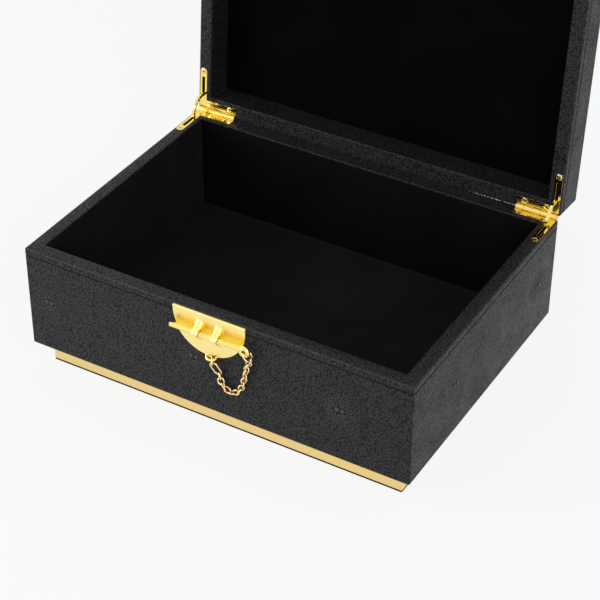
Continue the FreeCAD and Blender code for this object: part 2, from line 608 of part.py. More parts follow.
def knuckle_outline(sketch):
    """The barrel with its tongue, tangent to the leaf's underside."""
    root = f"({LEAF_BACK} - Sizes.barrel_gap)"
    meeting = f"({AXIS_Y} - sqrt({BARREL_RADIUS} ^ 2 - Sizes.seam_gap ^ 2 / 4))"
    outline(sketch, (AXIS_Y, LEAF_BOTTOM, AXIS_Y, AXIS_Z, 1), (meeting, RIM_TOP),
            (root, RIM_TOP), (root, LEAF_BOTTOM))


base_leaf = cut("base_leaf", hinge_leaf("base_leaf_body", 0), right_screw_holes)
relief_x = f"({LEG_SCREW_X} + Sizes.leg_screw_pitch / 2)"
relief_across = (f"({relief_x} - Sizes.relief_length / 2)", f"({relief_x} + Sizes.relief_length / 2)")
relief_deep = (f"({LEG_SCREW_Y} - Sizes.relief_width / 2)", f"({LEG_SCREW_Y} + Sizes.relief_width / 2)")
lid_relief = block("lid_relief", relief_across, relief_deep,
                   (f"({LEAF_BOTTOM} - {BEYOND})", f"({RIM_TOP} + {BEYOND})"))
lid_leaf = cut("lid_leaf", hinge_leaf("lid_leaf_body", 1), right_screw_holes, lid_relief)
node("base_hinge_leaf_right", group("base_leaf_right", base_leaf))
node("base_hinge_leaf_left", mirrored_x("base_leaf_left", base_leaf))
lid_node("lid_hinge_leaf_right", mirrored_seam("lid_leaf_right", lid_leaf))
lid_node("lid_hinge_leaf_left", mirrored_seam("lid_leaf_left", mirrored_x("lid_leaf_flipped", lid_leaf)))

left_screws = mirrored_x("left_screws", right_screws)
node("base_hinge_screws", group("base_screw_set", right_screws, left_screws))
lid_node("lid_hinge_screws", mirrored_seam("lid_screw_set", group("screw_set", right_screws, left_screws)))

hinge_pin = rod("hinge_pin", "x", LEG_END, AXIS_Y, AXIS_Z, "Sizes.pin_radius", "Sizes.leg_length")
node("hinge_pin_right", group("pin_right", hinge_pin))
node("hinge_pin_left", mirrored_x("pin_left", hinge_pin))


# Curved stay: a strip revolved about the hinge axis, with a stop lug at each end.
def hinge_stay():
    body = new_body("stay_body")
    profile = new_sketch(body, "stay_profile", "XZ_Plane", f"-{AXIS_Y}")
    profile.setExpression(".AttachmentOffset.Base.y", AXIS_Z)
    low = "(Sizes.stay_radius - Sizes.stay_width / 2)"
    high = "(Sizes.stay_radius + Sizes.stay_width / 2)"
    left = f"({ARM_X} - Sizes.stay_thickness / 2)"
    right = f"({ARM_X} + Sizes.stay_thickness / 2)"
    outline(profile, (left, low), (right, low), (right, high), (left, high))
    strip = body.newObject("PartDesign::Revolution", "stay_strip")
    strip.Profile = profile
    strip.ReferenceAxis = (profile, ["H_Axis"])
    strip.Type = "TwoAngles"
    strip.setExpression("Angle", "Sizes.stay_lap + 90")
    strip.setExpression("Angle2", "Sizes.open_angle + Sizes.stay_lap - 90")
    lugs = []
    for index, angle in enumerate(("(-Sizes.stay_lap)", "(Sizes.open_angle + Sizes.stay_lap)"), start=1):
        lugs.append(rod(f"stay_lug_{index}", "x", f"{ARM_X} - Sizes.lug_length / 2",
                        f"{AXIS_Y} - Sizes.stay_radius * cos({angle})",
                        f"{AXIS_Z} + Sizes.stay_radius * sin({angle})",
                        "Sizes.lug_radius", "Sizes.lug_length"))
    return fuse("stay", body, *lugs)


stay = hinge_stay()
node("hinge_stay_right", group("stay_right", stay))
node("hinge_stay_left", mirrored_x("stay_left", stay))


# Clasp plates
def front_edges(feature, face_y):
    """Names of the edges that lie in the plate's front face."""
    return [f"Edge{index}" for index, edge in enumerate(feature.Shape.Edges, start=1)
            if all(abs(vertex.Y - face_y) < 1e-4 for vertex in edge.Vertexes)]


def plate_body(name, *corners):
    """A plate on the front face, padded forwards, with its front edge rounded."""
    body = new_body(name)
    sketch = new_sketch(body, name + "_outline", "XZ_Plane", HALF_DEPTH)
    outline(sketch, *corners)
    plate = pad(body, name + "_pad", sketch, "Sizes.plate_thickness")
    doc.recompute()
    rounding = body.newObject("PartDesign::Fillet", name + "_rounding")
    rounding.Base = (plate, front_edges(plate, number(PLATE_FACE)))
    rounding.setExpression("Radius", "Sizes.plate_rounding")
    return body


def claw(name):
    """One cast claw: a side profile that flares into the plate, drawn in to points."""
    eye = "(Sizes.bolt_radius + Sizes.claw_wall)"
    flare = "Sizes.claw_flare"
    tip = f"({eye} + {flare})"
    neck = f"({PLATE_FACE} - {flare})"
    sunk = f"({PLATE_FACE} + Sizes.plate_thickness / 2)"
    side = new_body(name + "_side")
    profile = new_sketch(side, name + "_profile", "YZ_Plane", "Sizes.claw_spread")
    outline(profile,
            (BOLT_Y, f"{BOLT_Z} + {eye}", BOLT_Y, BOLT_Z, 1),
            (BOLT_Y, f"{BOLT_Z} - {eye}"),
            (neck, f"{BOLT_Z} - {eye}", neck, f"{BOLT_Z} - {tip}", -1),
            (PLATE_FACE, f"{BOLT_Z} - {tip}"),
            (sunk, f"{BOLT_Z} - {tip}"),
            (sunk, f"{BOLT_Z} + {tip}"),
            (PLATE_FACE, f"{BOLT_Z} + {tip}", neck, f"{BOLT_Z} + {tip}", -1),
            (neck, f"{BOLT_Z} + {eye}"))
    pad(side, name + "_side_pad", profile, "Sizes.claw_width", both_ways=True)
    front = new_body(name + "_front")
    face = new_sketch(front, name + "_face", "XZ_Plane", HALF_DEPTH)
    near = "(Sizes.claw_spread - Sizes.claw_width / 2)"
    far = "(Sizes.claw_spread + Sizes.claw_width / 2)"
    near_tip = "(Sizes.claw_spread - Sizes.claw_tip / 2)"
    far_tip = "(Sizes.claw_spread + Sizes.claw_tip / 2)"
    outline(face,
            (near, f"{BOLT_Z} - Sizes.bolt_radius"), (near_tip, f"{BOLT_Z} - {tip}"),
            (far_tip, f"{BOLT_Z} - {tip}"), (far, f"{BOLT_Z} - Sizes.bolt_radius"),
            (far, f"{BOLT_Z} + Sizes.bolt_radius"), (far_tip, f"{BOLT_Z} + {tip}"),
            (near_tip, f"{BOLT_Z} + {tip}"), (near, f"{BOLT_Z} + Sizes.bolt_radius"))
    pad(front, name + "_front_pad", face, HALF_DEPTH, both_ways=True)
    return common(name, side, front)


LUG_Y = f"({FRONT_Y} - Sizes.lug_reach)"
LUG_Z = f"({PLATE_FOOT} - Sizes.lug_drop)"


def chain_lug():
    """A level loop under the base plate, on a short web."""
    loop = turned("Part::Torus", "lug_loop", "z", "Sizes.lug_offset", LUG_Y, LUG_Z)
    bind(loop, Radius1="Sizes.lug_radius_mid", Radius2="Sizes.lug_wire")
    in_front = block("lug_in_front", span("Sizes.plate_radius"), (f"2 * {FRONT_Y}", FRONT_Y), ("0", RIM_TOP))
    web = block("lug_web",
                ("Sizes.lug_offset - Sizes.lug_radius_mid", "Sizes.lug_offset + Sizes.lug_radius_mid"),
                (f"({FRONT_Y} - Sizes.lug_root)", FRONT_Y),
                (f"({LUG_Z} - Sizes.lug_wire)", f"({PLATE_FOOT} + Sizes.lug_root)"))
    return fuse("chain_lug", common("lug_bow", loop, in_front), web)


def base_clasp():
    """Half disc with a hollow channel behind the bolt, two claws and the chain lug."""
    radius = "Sizes.plate_radius"
    plate = plate_body("base_plate", (f"-{radius}", PLATE_CENTRE, "0", PLATE_CENTRE, 1),
                       (radius, PLATE_CENTRE), (radius, PLATE_TOP), (f"-{radius}", PLATE_TOP))
    hollow = f"({PLATE_FACE} + Sizes.channel_depth - Sizes.channel_radius)"
    channel = rod("channel", "x", f"-2 * {radius}", hollow, BOLT_Z, "Sizes.channel_radius", f"4 * {radius}")
    right_claw = claw("claw")
    cast = fuse("base_clasp_cast", cut("channelled_plate", plate, channel), right_claw,
                mirrored_x("left_claw", right_claw), chain_lug())
    bore = rod("claw_bore", "x", f"-2 * {radius}", BOLT_Y, BOLT_Z, "Sizes.bolt_radius + Sizes.bolt_gap",
               f"4 * {radius}")
    return cut("base_clasp", cast, bore, base_clasp_holes)


def lid_clasp():
    """Low arch with its keeper: a tongue that drops between the claws, eye round the bolt."""
    half = "Sizes.plate_radius"
    spring = f"({LID_PLATE_FOOT} + Sizes.lid_plate_side)"
    rise = "(Sizes.lid_plate_height - Sizes.lid_plate_side)"
    arch_centre = f"({spring} + {rise} - ({half} ^ 2 + {rise} ^ 2) / (2 * {rise}))"
    plate = plate_body("lid_plate", (f"-{half}", LID_PLATE_FOOT), (half, LID_PLATE_FOOT),
                       (half, spring, "0", arch_centre, 1), (f"-{half}", spring))
    inner = f"({PLATE_FACE} - Sizes.keeper_gap)"
    outer = f"({inner} - Sizes.keeper_thickness)"
    sunk = f"({PLATE_FACE} + Sizes.plate_thickness / 2)"
    step = f"({LID_PLATE_FOOT} + Sizes.plate_drop)"
    head = f"({LID_PLATE_FOOT} + Sizes.keeper_rise)"
    tongue = new_body("keeper_tongue")
    profile = new_sketch(tongue, "keeper_profile", "YZ_Plane")
    outline(profile, (inner, BOLT_Z), (inner, step), (sunk, step), (sunk, head), (PLATE_FACE, head),
            (outer, f"{head} - Sizes.keeper_thickness"), (outer, BOLT_Z))
    pad(tongue, "keeper_pad", profile, "Sizes.keeper_width", both_ways=True)
    eye = rod("keeper_eye", "x", "-Sizes.keeper_width / 2", BOLT_Y, BOLT_Z, KEEPER_EYE, "Sizes.keeper_width")
    bore = rod("keeper_bore", "x", "-2 * Sizes.keeper_width", BOLT_Y, BOLT_Z,
               "Sizes.bolt_radius + Sizes.keeper_room", "4 * Sizes.keeper_width")
    return cut("lid_clasp", fuse("lid_clasp_cast", plate, tongue, eye), bore, lid_clasp_holes)


node("base_clasp_plate", base_clasp())
lid_node("lid_clasp_plate", lid_clasp())
base_clasp_set = screws("base_clasp_set", group, "-y", BASE_CLASP_SCREWS, CLASP_SCREW_LENGTH)
lid_clasp_set = screws("lid_clasp_set", group, "-y", LID_CLASP_SCREWS, CLASP_SCREW_LENGTH)
node("base_clasp_screws", base_clasp_set)
lid_node("lid_clasp_screws", lid_clasp_set)


# Bolt: a turned rod with a chamfered nose and a ring-shaped grip, and its jump ring
EYE_X = "(Sizes.bolt_right + Sizes.eye_radius)"
EYE_Z = f"({BOLT_Z} - Sizes.eye_drop)"


def clasp_bolt():
    body = new_body("bolt_body")
    half = new_sketch(body, "bolt_half", "XZ_Plane", f"-{BOLT_Y}")
    half.setExpression(".AttachmentOffset.Base.y", BOLT_Z)
    outline(half, ("-Sizes.bolt_left", "0"), ("Sizes.bolt_right", "0"),
            ("Sizes.bolt_right", "Sizes.bolt_radius"),
            ("-Sizes.bolt_left + Sizes.bolt_nose", "Sizes.bolt_radius"),
            ("-Sizes.bolt_left", "Sizes.bolt_radius - Sizes.bolt_nose"))
    rod_part = body.newObject("PartDesign::Revolution", "bolt_rod")
    rod_part.Profile = half
    rod_part.ReferenceAxis = (half, ["H_Axis"])
    rod_part.Angle = 360
    grip = turned("Part::Torus", "bolt_grip", "y", EYE_X, BOLT_Y, EYE_Z)
    bind(grip, Radius1="Sizes.eye_radius", Radius2="Sizes.eye_wire")
    return fuse("bolt", body, grip)


node("clasp_bolt", clasp_bolt())


def placed(name, piece, turn, x, y, z):
    """A piece drawn about its own origin, turned and set down at (x, y, z)."""
    whole = group(name, piece)
    whole.Placement = FreeCAD.Placement(FreeCAD.Vector(), turn)
    return bind(whole, Placement__Base__x=x, Placement__Base__y=y, Placement__Base__z=z)


def round_ring(name, radius, wire):
    ring = doc.addObject("Part::Torus", name)
    return bind(ring, Radius1=radius, Radius2=wire)


# The jump ring goes through the grip and hangs from its lower right rim.
JUMP_LEAN = 45
JUMP_REACH = "(Sizes.jump_radius + Sizes.ring_play)"
node("bolt_jump_ring", placed(
    "jump_ring", round_ring("jump_wire_ring", "Sizes.jump_radius", "Sizes.jump_wire"),
    FreeCAD.Rotation(FreeCAD.Vector(0, 1, 0), JUMP_LEAN),
    f"{EYE_X} + {JUMP_REACH} * cos({JUMP_LEAN})", BOLT_Y, f"{EYE_Z} - {JUMP_REACH} * sin({JUMP_LEAN})"))

# A small ring hooks the lug and carries a long ring that leans down against the leather.
HOOK_TURN = 35
HOOK_X = f"(Sizes.lug_offset + Sizes.lug_radius_mid * sin({HOOK_TURN}))"
HOOK_Y = f"({LUG_Y} - Sizes.lug_radius_mid * cos({HOOK_TURN}))"
HOOK_Z = f"({LUG_Z} + Sizes.lug_wire + Sizes.hook_wire + Sizes.ring_play - Sizes.hook_radius)"
OVAL_DOWN = FreeCAD.Vector(0.40, 0.24, -0.885).normalize()
OVAL_REACH = "(Sizes.oval_radius + Sizes.oval_side / 2)"
OVAL_TOP = f"({HOOK_Z} - Sizes.hook_radius + Sizes.hook_wire + Sizes.oval_wire + Sizes.ring_play)"


def oval_ring():
    """A long ring about its middle, in the XZ plane."""
    ends = []
    for name, turn, rise in (("oval_top", "-y", "Sizes.oval_side / 2"),
                             ("oval_foot", "y", "-Sizes.oval_side / 2")):
        half_ring = turned("Part::Torus", name, turn, "0", "0", rise)
        bind(half_ring, Radius1="Sizes.oval_radius", Radius2="Sizes.oval_wire")
        half_ring.Angle3 = 180
        ends.append(half_ring)
    sides = [rod(name, "z", x, "0", "-Sizes.oval_side / 2", "Sizes.oval_wire", "Sizes.oval_side")
             for name, x in (("oval_left", "-Sizes.oval_radius"), ("oval_right", "Sizes.oval_radius"))]
    return fuse("oval_ring", *ends, *sides)


node("chain_anchor_rings", group(
    "anchor_rings",
    placed("hook_ring", round_ring("hook_wire_ring", "Sizes.hook_radius", "Sizes.hook_wire"),
           FreeCAD.Rotation(HOOK_TURN, 90, 0), HOOK_X, HOOK_Y, HOOK_Z),
    placed("long_ring", oval_ring(),
           FreeCAD.Rotation(FreeCAD.Vector(), FreeCAD.Vector(0, 1, 0), -OVAL_DOWN, "ZYX"),
           f"{HOOK_X} + {OVAL_REACH} * {OVAL_DOWN.x}", f"{HOOK_Y} + {OVAL_REACH} * {OVAL_DOWN.y}",
           f"{OVAL_TOP} + {OVAL_REACH} * {OVAL_DOWN.z}")))

# Chain route from the long ring down and up to the jump ring, chosen by hand: share of the
# way across, then out from and below the straight line between its two ends.
CHAIN_ROUTE = (
    (0.038, 0.02, 4.1), (0.085, -0.08, 7.7), (0.158, -0.38, 12.3), (0.252, -0.78, 16.5),
    (0.364, -1.25, 20.1), (0.480, -1.73, 21.9), (0.585, -2.08, 21.8), (0.657, -2.28, 20.0),
    (0.704, -2.38, 17.6), (0.755, -2.49, 12.7), (0.805, -2.10, 7.8), (0.870, -1.38, 3.9),
)
CHAIN_OVERLAP = 0.6          # how far the end links reach back past the wires they hang on


def chain_link(length, width, wire):
    """An eight-sided link in the XY plane, its length along X, of square wire."""
    def eight_sided(long, wide, corner):
        half_long, half_wide = long / 2, wide / 2
        points = [(half_long, half_wide - corner), (half_long - corner, half_wide),
                  (corner - half_long, half_wide), (-half_long, half_wide - corner),
                  (-half_long, corner - half_wide), (corner - half_long, -half_wide),
                  (half_long - corner, -half_wide), (half_long, corner - half_wide)]
        corners = [FreeCAD.Vector(x, y, -wire / 2) for x, y in points]
        return Part.Face(Part.makePolygon(corners + corners[:1]))

    outside = eight_sided(length, width, 0.3 * width)
    inside = eight_sided(length - 2 * wire, width - 2 * wire, 0.15 * width)
    return outside.cut(inside).extrude(FreeCAD.Vector(0, 0, wire))


def chain_shape():
    """An even number of links along the route, each a quarter turn from the one before.

    The first stands on edge to cross the long ring, the last lies flat to cross the jump ring.
    """
    foot = f"{OVAL_REACH} * 2"
    start = FreeCAD.Vector(number(f"{HOOK_X} + {foot} * {OVAL_DOWN.x}"),
                           number(f"{HOOK_Y} + {foot} * {OVAL_DOWN.y}"),
                           number(f"{OVAL_TOP} + {foot} * {OVAL_DOWN.z}")) - OVAL_DOWN * CHAIN_OVERLAP
    far = f"({JUMP_REACH} + Sizes.jump_radius)"
    end = FreeCAD.Vector(number(f"{EYE_X} + {far} * cos({JUMP_LEAN})"), number(BOLT_Y),
                         number(f"{EYE_Z} - {far} * sin({JUMP_LEAN})") + CHAIN_OVERLAP)
    points = [start + (end - start) * share + FreeCAD.Vector(0, -out, -below)
              for share, out, below in ((0, 0, 0), *CHAIN_ROUTE, (1, 0, 0))]
    route = Part.BSplineCurve()
    route.interpolate(points)
    length = route.length()
    count = 2 * round(length / number("Sizes.link_pitch") / 2)
    link = chain_link(number("Sizes.link_length"), number("Sizes.link_width"), number("Sizes.link_wire"))
    outward = FreeCAD.Vector(0, -1, 0)
    links = []
    for index in range(count):
        place = route.parameterAtDistance((index + 0.5) * length / count, route.FirstParameter)
        along = route.tangent(place)[0]
        across = along.cross(outward).normalize()
        flat = FreeCAD.Rotation(along, across, along.cross(across), "XYZ")
        quarter = FreeCAD.Rotation(FreeCAD.Vector(1, 0, 0), 0 if index % 2 else 90)
        links.append(link.copy())
        links[-1].Placement = FreeCAD.Placement(route.value(place), flat.multiply(quarter))
    print(f"chain: {count} links over {length:.1f} mm, pitch {length / count:.2f} mm")
    return Part.makeCompound(links)


chain = doc.addObject("Part::Feature", "chain")
node("clasp_chain", chain)
doc.recompute()
chain.Shape = chain_shape()

# Checks before anything is written
doc.recompute()
failed = [item.Name for item in doc.Objects if {"Invalid", "Error"} & set(item.State)]
if failed:
    raise RuntimeError("objects that failed: " + ", ".join(failed))
for name, piece in NODES.items():
    if piece.Shape.isNull() or not piece.Shape.isValid() or not piece.Shape.Solids:
        raise RuntimeError("no valid shape: " + name)

os.makedirs("parts", exist_ok=True)
for name, piece in NODES.items():
    piece.Shape.exportStep(os.path.join("parts", name + ".step"))
print(f"{len(NODES)} sub-parts, {sum(len(piece.Shape.Solids) for piece in NODES.values())} solids")
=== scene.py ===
import math

import bmesh
import bpy
from mathutils import Matrix, Vector, noise


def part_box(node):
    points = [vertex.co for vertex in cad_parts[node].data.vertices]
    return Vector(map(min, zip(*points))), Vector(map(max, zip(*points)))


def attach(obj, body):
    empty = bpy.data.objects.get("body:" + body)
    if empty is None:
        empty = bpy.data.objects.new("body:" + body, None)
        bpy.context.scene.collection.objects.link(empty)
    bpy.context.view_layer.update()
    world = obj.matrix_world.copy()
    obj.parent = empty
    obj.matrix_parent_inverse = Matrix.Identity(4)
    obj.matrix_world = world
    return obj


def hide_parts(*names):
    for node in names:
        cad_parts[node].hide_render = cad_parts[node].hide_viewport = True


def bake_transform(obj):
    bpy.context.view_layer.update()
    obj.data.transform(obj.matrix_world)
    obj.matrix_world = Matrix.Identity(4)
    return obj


# A leather-covered jewellery box, its lid open on two quadrant stop hinges, with a bolt on a
# chain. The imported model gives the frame, and all that is drawn here is in metres around it.
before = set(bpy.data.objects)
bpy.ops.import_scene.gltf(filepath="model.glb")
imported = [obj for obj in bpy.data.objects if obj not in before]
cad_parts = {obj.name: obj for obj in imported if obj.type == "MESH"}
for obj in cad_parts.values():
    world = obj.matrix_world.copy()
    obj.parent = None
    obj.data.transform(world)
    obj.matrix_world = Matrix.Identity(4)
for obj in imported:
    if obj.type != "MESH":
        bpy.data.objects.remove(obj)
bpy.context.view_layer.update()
mm = 0.001

box = {
    "halfWidth": 150 * mm, "halfDepth": 109 * mm,
    "bodyBottom": 17.7 * mm, "rim": 98.3 * mm, "seam": 1.0 * mm,
    "lidHeight": 29 * mm, "rimWidth": 10.3 * mm, "leather": 1.2 * mm,
    "axisY": 110 * mm, "axisZ": 98.8 * mm, "openDegrees": 94.5,
}
lidSwing = (Matrix.Translation((0, box["axisY"], box["axisZ"]))
            @ Matrix.Rotation(math.radians(-box["openDegrees"]), 4, "X")
            @ Matrix.Translation((0, -box["axisY"], -box["axisZ"])))
seamMirror = Matrix.Translation((0, 0, 2 * box["axisZ"])) @ Matrix.Scale(-1, 4, (0, 0, 1))


# Nodes and colours

def linearColour(hexCode):
    shares = [int(hexCode[start:start + 2], 16) / 255 for start in (1, 3, 5)]
    return [s / 12.92 if s <= 0.04045 else ((s + 0.055) / 1.055) ** 2.4 for s in shares] + [1.0]


def plug(node, inputs):
    # An input may be a value, a socket, or a node whose first working output is meant.
    for socket, value in inputs.items():
        if isinstance(value, bpy.types.Node):
            value = next(output for output in value.outputs if output.enabled)
        if isinstance(value, bpy.types.NodeSocket):
            node.id_data.links.new(value, node.inputs[socket])
        else:
            node.inputs[socket].default_value = value


def addNode(tree, kind, inputs=None, **settings):
    node = tree.nodes.new(kind)
    for name, value in settings.items():
        setattr(node, name, value)
    plug(node, inputs or {})
    return node


def startMaterial(name, hexCode, sockets, grain=None):
    material = bpy.data.materials.new(name)
    material.use_nodes = True
    material.diffuse_color = linearColour(hexCode)
    tree = material.node_tree
    shader = tree.nodes["Principled BSDF"]
    plug(shader, {"Base Color": linearColour(hexCode), **sockets})
    place = addNode(tree, "ShaderNodeTexCoord").outputs["Object"]
    if grain:
        # A fine relief of grains of one size all over the surface.
        grains = addNode(tree, "ShaderNodeTexNoise", {
            "Vector": place, "Scale": 1 / grain["size"], "Detail": grain["detail"]})
        bump = addNode(tree, "ShaderNodeBump", {
            "Height": grains, "Strength": grain["strength"], "Distance": grain["depth"]})
        plug(shader, {"Normal": bump})
    return material, tree, shader, place


def softPatches(tree, place, size, detail, spread, low, high):
    # A slow change over the surface between two values.
    clouds = addNode(tree, "ShaderNodeTexNoise", {"Vector": place, "Scale": 1 / size,
                                                  "Detail": detail})
    return addNode(tree, "ShaderNodeMapRange", {
        "Value": clouds, "From Min": 0.5 - spread, "From Max": 0.5 + spread,
        "To Min": low, "To Max": high})


# Materials

def makeShagreenLeather():
    # Black split leather, embossed with a shagreen plate: satin domes, dull creases between them
    # that are painted darker as shade.
    # The plate's grain is about 0.9 mm; it is drawn at 1.5 mm so that it shows in the render.
    finish = {"grain": 1.5 * mm, "blur": 0.35, "domeEnd": 0.15, "creaseStart": 0.75,
              "dome": "#28282B", "crease": "#121214", "domeShine": 0.35, "creaseShine": 0.11,
              "rubbedAndSheen": "#363639", "groove": "#0C0C0D",
              "patch": 18.2 * mm, "smooth": 0.42, "rough": 0.55,
              "pore": 0.6 * mm, "poreShare": 0.35, "relief": 0.22 * mm, "strength": 0.8}
    material, tree, shader, place = startMaterial("shagreenLeather", finish["dome"], {})
    cells = addNode(tree, "ShaderNodeTexVoronoi", {
        "Vector": place, "Scale": 1 / finish["grain"], "Smoothness": finish["blur"]},
        feature="SMOOTH_F1")
    depth = addNode(tree, "ShaderNodeMapRange", {
        "Value": cells, "From Min": finish["domeEnd"], "From Max": finish["creaseStart"],
        "To Min": 1.0, "To Max": 0.0})
    # The creases get the darker colour: painted shade.
    tint = addNode(tree, "ShaderNodeMix", {
        "Factor": depth, "A": linearColour(finish["crease"]),
        "B": linearColour(finish["dome"])}, data_type="RGBA")
    # The outer edges are painted paler: a painted highlight where they catch the light, partly
    # rubbed by handling. The groove under the stitches is painted dark: painted shade.
    wearSheenAndShade = addNode(tree, "ShaderNodeAttribute", attribute_name="wearSheenAndShade").outputs["Fac"]
    rubAndSheen = addNode(tree, "ShaderNodeMapRange", {"Value": wearSheenAndShade})
    sunk = addNode(tree, "ShaderNodeMapRange", {"Value": wearSheenAndShade, "From Max": -1.0})
    for share, colour in ((rubAndSheen, finish["rubbedAndSheen"]), (sunk, finish["groove"])):
        tint = addNode(tree, "ShaderNodeMix", {
            "Factor": share, "A": tint, "B": linearColour(colour)}, data_type="RGBA")
    gloss = softPatches(tree, place, finish["patch"], detail=3.0, spread=0.2,
                        low=finish["smooth"], high=finish["rough"])
    # Little light gets into the creases, so their shine is taken away with the colour.
    shine = addNode(tree, "ShaderNodeMapRange", {
        "Value": depth, "To Min": finish["creaseShine"], "To Max": finish["domeShine"]})
    # The groove's shine is taken away as well: painted shade.
    clear = addNode(tree, "ShaderNodeMath", {0: 1.0, 1: sunk}, operation="SUBTRACT")
    shineLeft = addNode(tree, "ShaderNodeMath", {0: shine, 1: clear}, operation="MULTIPLY")
    pores = addNode(tree, "ShaderNodeTexNoise", {
        "Vector": place, "Scale": 1 / finish["pore"], "Detail": 2.0})
    height = addNode(tree, "ShaderNodeMath", {0: pores, 1: finish["poreShare"], 2: depth},
                     operation="MULTIPLY_ADD")
    bump = addNode(tree, "ShaderNodeBump", {
        "Height": height, "Strength": finish["strength"], "Distance": finish["relief"]})
    plug(shader, {"Base Color": tint, "Roughness": gloss, "Specular IOR Level": shineLeft,
                  "Normal": bump})
    return material


def makeVelvet(name, hexCode, sheen, shine):
    # Short cotton velvet glued to card: no gloss, a dim bloom at grazing angles, brushed pile.
    pile = {"bloom": "#8A8A92", "stroke": 45.5 * mm, "dark": 0.75, "pale": 1.15}
    tufts = {"size": 0.7 * mm, "detail": 2.0, "strength": 0.6, "depth": 0.15 * mm}
    material, tree, shader, place = startMaterial(
        name, hexCode, {"Roughness": 0.95, "Specular IOR Level": shine, "Sheen Weight": sheen,
                        "Sheen Roughness": 0.4, "Sheen Tint": linearColour(pile["bloom"])},
        tufts)
    shade = softPatches(tree, place, pile["stroke"], detail=2.0, spread=0.15,
                        low=pile["dark"], high=pile["pale"])
    tint = addNode(tree, "ShaderNodeVectorMath", {
        0: linearColour(hexCode)[:3], "Scale": shade}, operation="SCALE")
    plug(shader, {"Base Color": tint})
    return material


def makeGilt(name, hexCode, roughness, scratches, stretch=(1, 1, 1)):
    # Gold-plated brass: a saturated metal, polished or brushed, with fine hand marks and edges
    # that the polishing wheel has softened. Corners and crevices that ambient occlusion finds are
    # painted dark brown: painted shade.
    wheel = {"mark": 1.11 * mm, "markDepth": 0.02 * mm, "smear": 8.33 * mm,
             "smooth": 0.8, "rough": 1.25, "edge": 0.25 * mm}
    paintedShade = {"colour": "#4A3210", "reach": 1.8 * mm, "deep": 0.25, "clear": 0.78}
    material, tree, shader, place = startMaterial(
        name, hexCode, {"Metallic": 1.0, "Roughness": roughness})
    nook = addNode(tree, "ShaderNodeAmbientOcclusion", {"Distance": paintedShade["reach"]}, samples=8)
    shadeShare = addNode(tree, "ShaderNodeMapRange", {
        "Value": nook.outputs["AO"], "From Min": paintedShade["deep"], "From Max": paintedShade["clear"],
        "To Min": 1.0, "To Max": 0.0})
    tint = addNode(tree, "ShaderNodeMix", {
        "Factor": shadeShare, "A": linearColour(hexCode), "B": linearColour(paintedShade["colour"])},
        data_type="RGBA", name="tarnishMix")
    gloss = softPatches(tree, place, wheel["smear"], detail=2.0, spread=0.2,
                        low=roughness * wheel["smooth"], high=roughness * wheel["rough"])
    run = addNode(tree, "ShaderNodeMapping", {"Vector": place, "Scale": stretch})
    marks = addNode(tree, "ShaderNodeTexNoise", {
        "Vector": run, "Scale": 1 / wheel["mark"], "Detail": 3.0})
    softEdge = addNode(tree, "ShaderNodeBevel", {"Radius": wheel["edge"]}, samples=4)
    bump = addNode(tree, "ShaderNodeBump", {
        "Height": marks, "Strength": scratches, "Distance": wheel["markDepth"],
        "Normal": softEdge})
    plug(shader, {"Base Color": tint, "Roughness": gloss, "Normal": bump})
    return material


def makePlateGilt():
    # The brushed clasp plate. The hollow behind the bolt sees mostly gold, so its deeper colour is
    # a painted reflection of gold on gold. This band of deeper colour fades slowly upwards, ends
    # behind the bolt below and leaves the claws' fronts clear.
    band = {"pale": "#FFEB9C", "deep": "#FFDC50", "topStart": 87.2 * mm, "topEnd": 92.2 * mm,
            "footEnd": 81.2 * mm, "footStart": 83.6 * mm,
            "clear": -116.5 * mm, "full": -113.5 * mm}
    material = makeGilt("claspPlateGilt", band["pale"], roughness=0.36, scratches=0.25,
                        stretch=(0.05, 1, 1))
    tree = material.node_tree
    place = addNode(tree, "ShaderNodeTexCoord").outputs["Object"]
    spot = addNode(tree, "ShaderNodeSeparateXYZ", {"Vector": place}).outputs
    share = 1.0
    for value, start, end, first in ((spot["Z"], band["topStart"], band["topEnd"], 1.0),
                                     (spot["Z"], band["footEnd"], band["footStart"], 0.0),
                                     (spot["Y"], band["clear"], band["full"], 0.0)):
        part = addNode(tree, "ShaderNodeMapRange", {
            "Value": value, "From Min": start, "From Max": end,
            "To Min": first, "To Max": 1 - first}, interpolation_type="SMOOTHSTEP")
        share = addNode(tree, "ShaderNodeMath", {0: share, 1: part}, operation="MULTIPLY")
    tint = addNode(tree, "ShaderNodeMix", {
        "Factor": share, "A": linearColour(band["pale"]), "B": linearColour(band["deep"])},
        data_type="RGBA")
    plug(tree.nodes["tarnishMix"], {"A": tint})
    return material


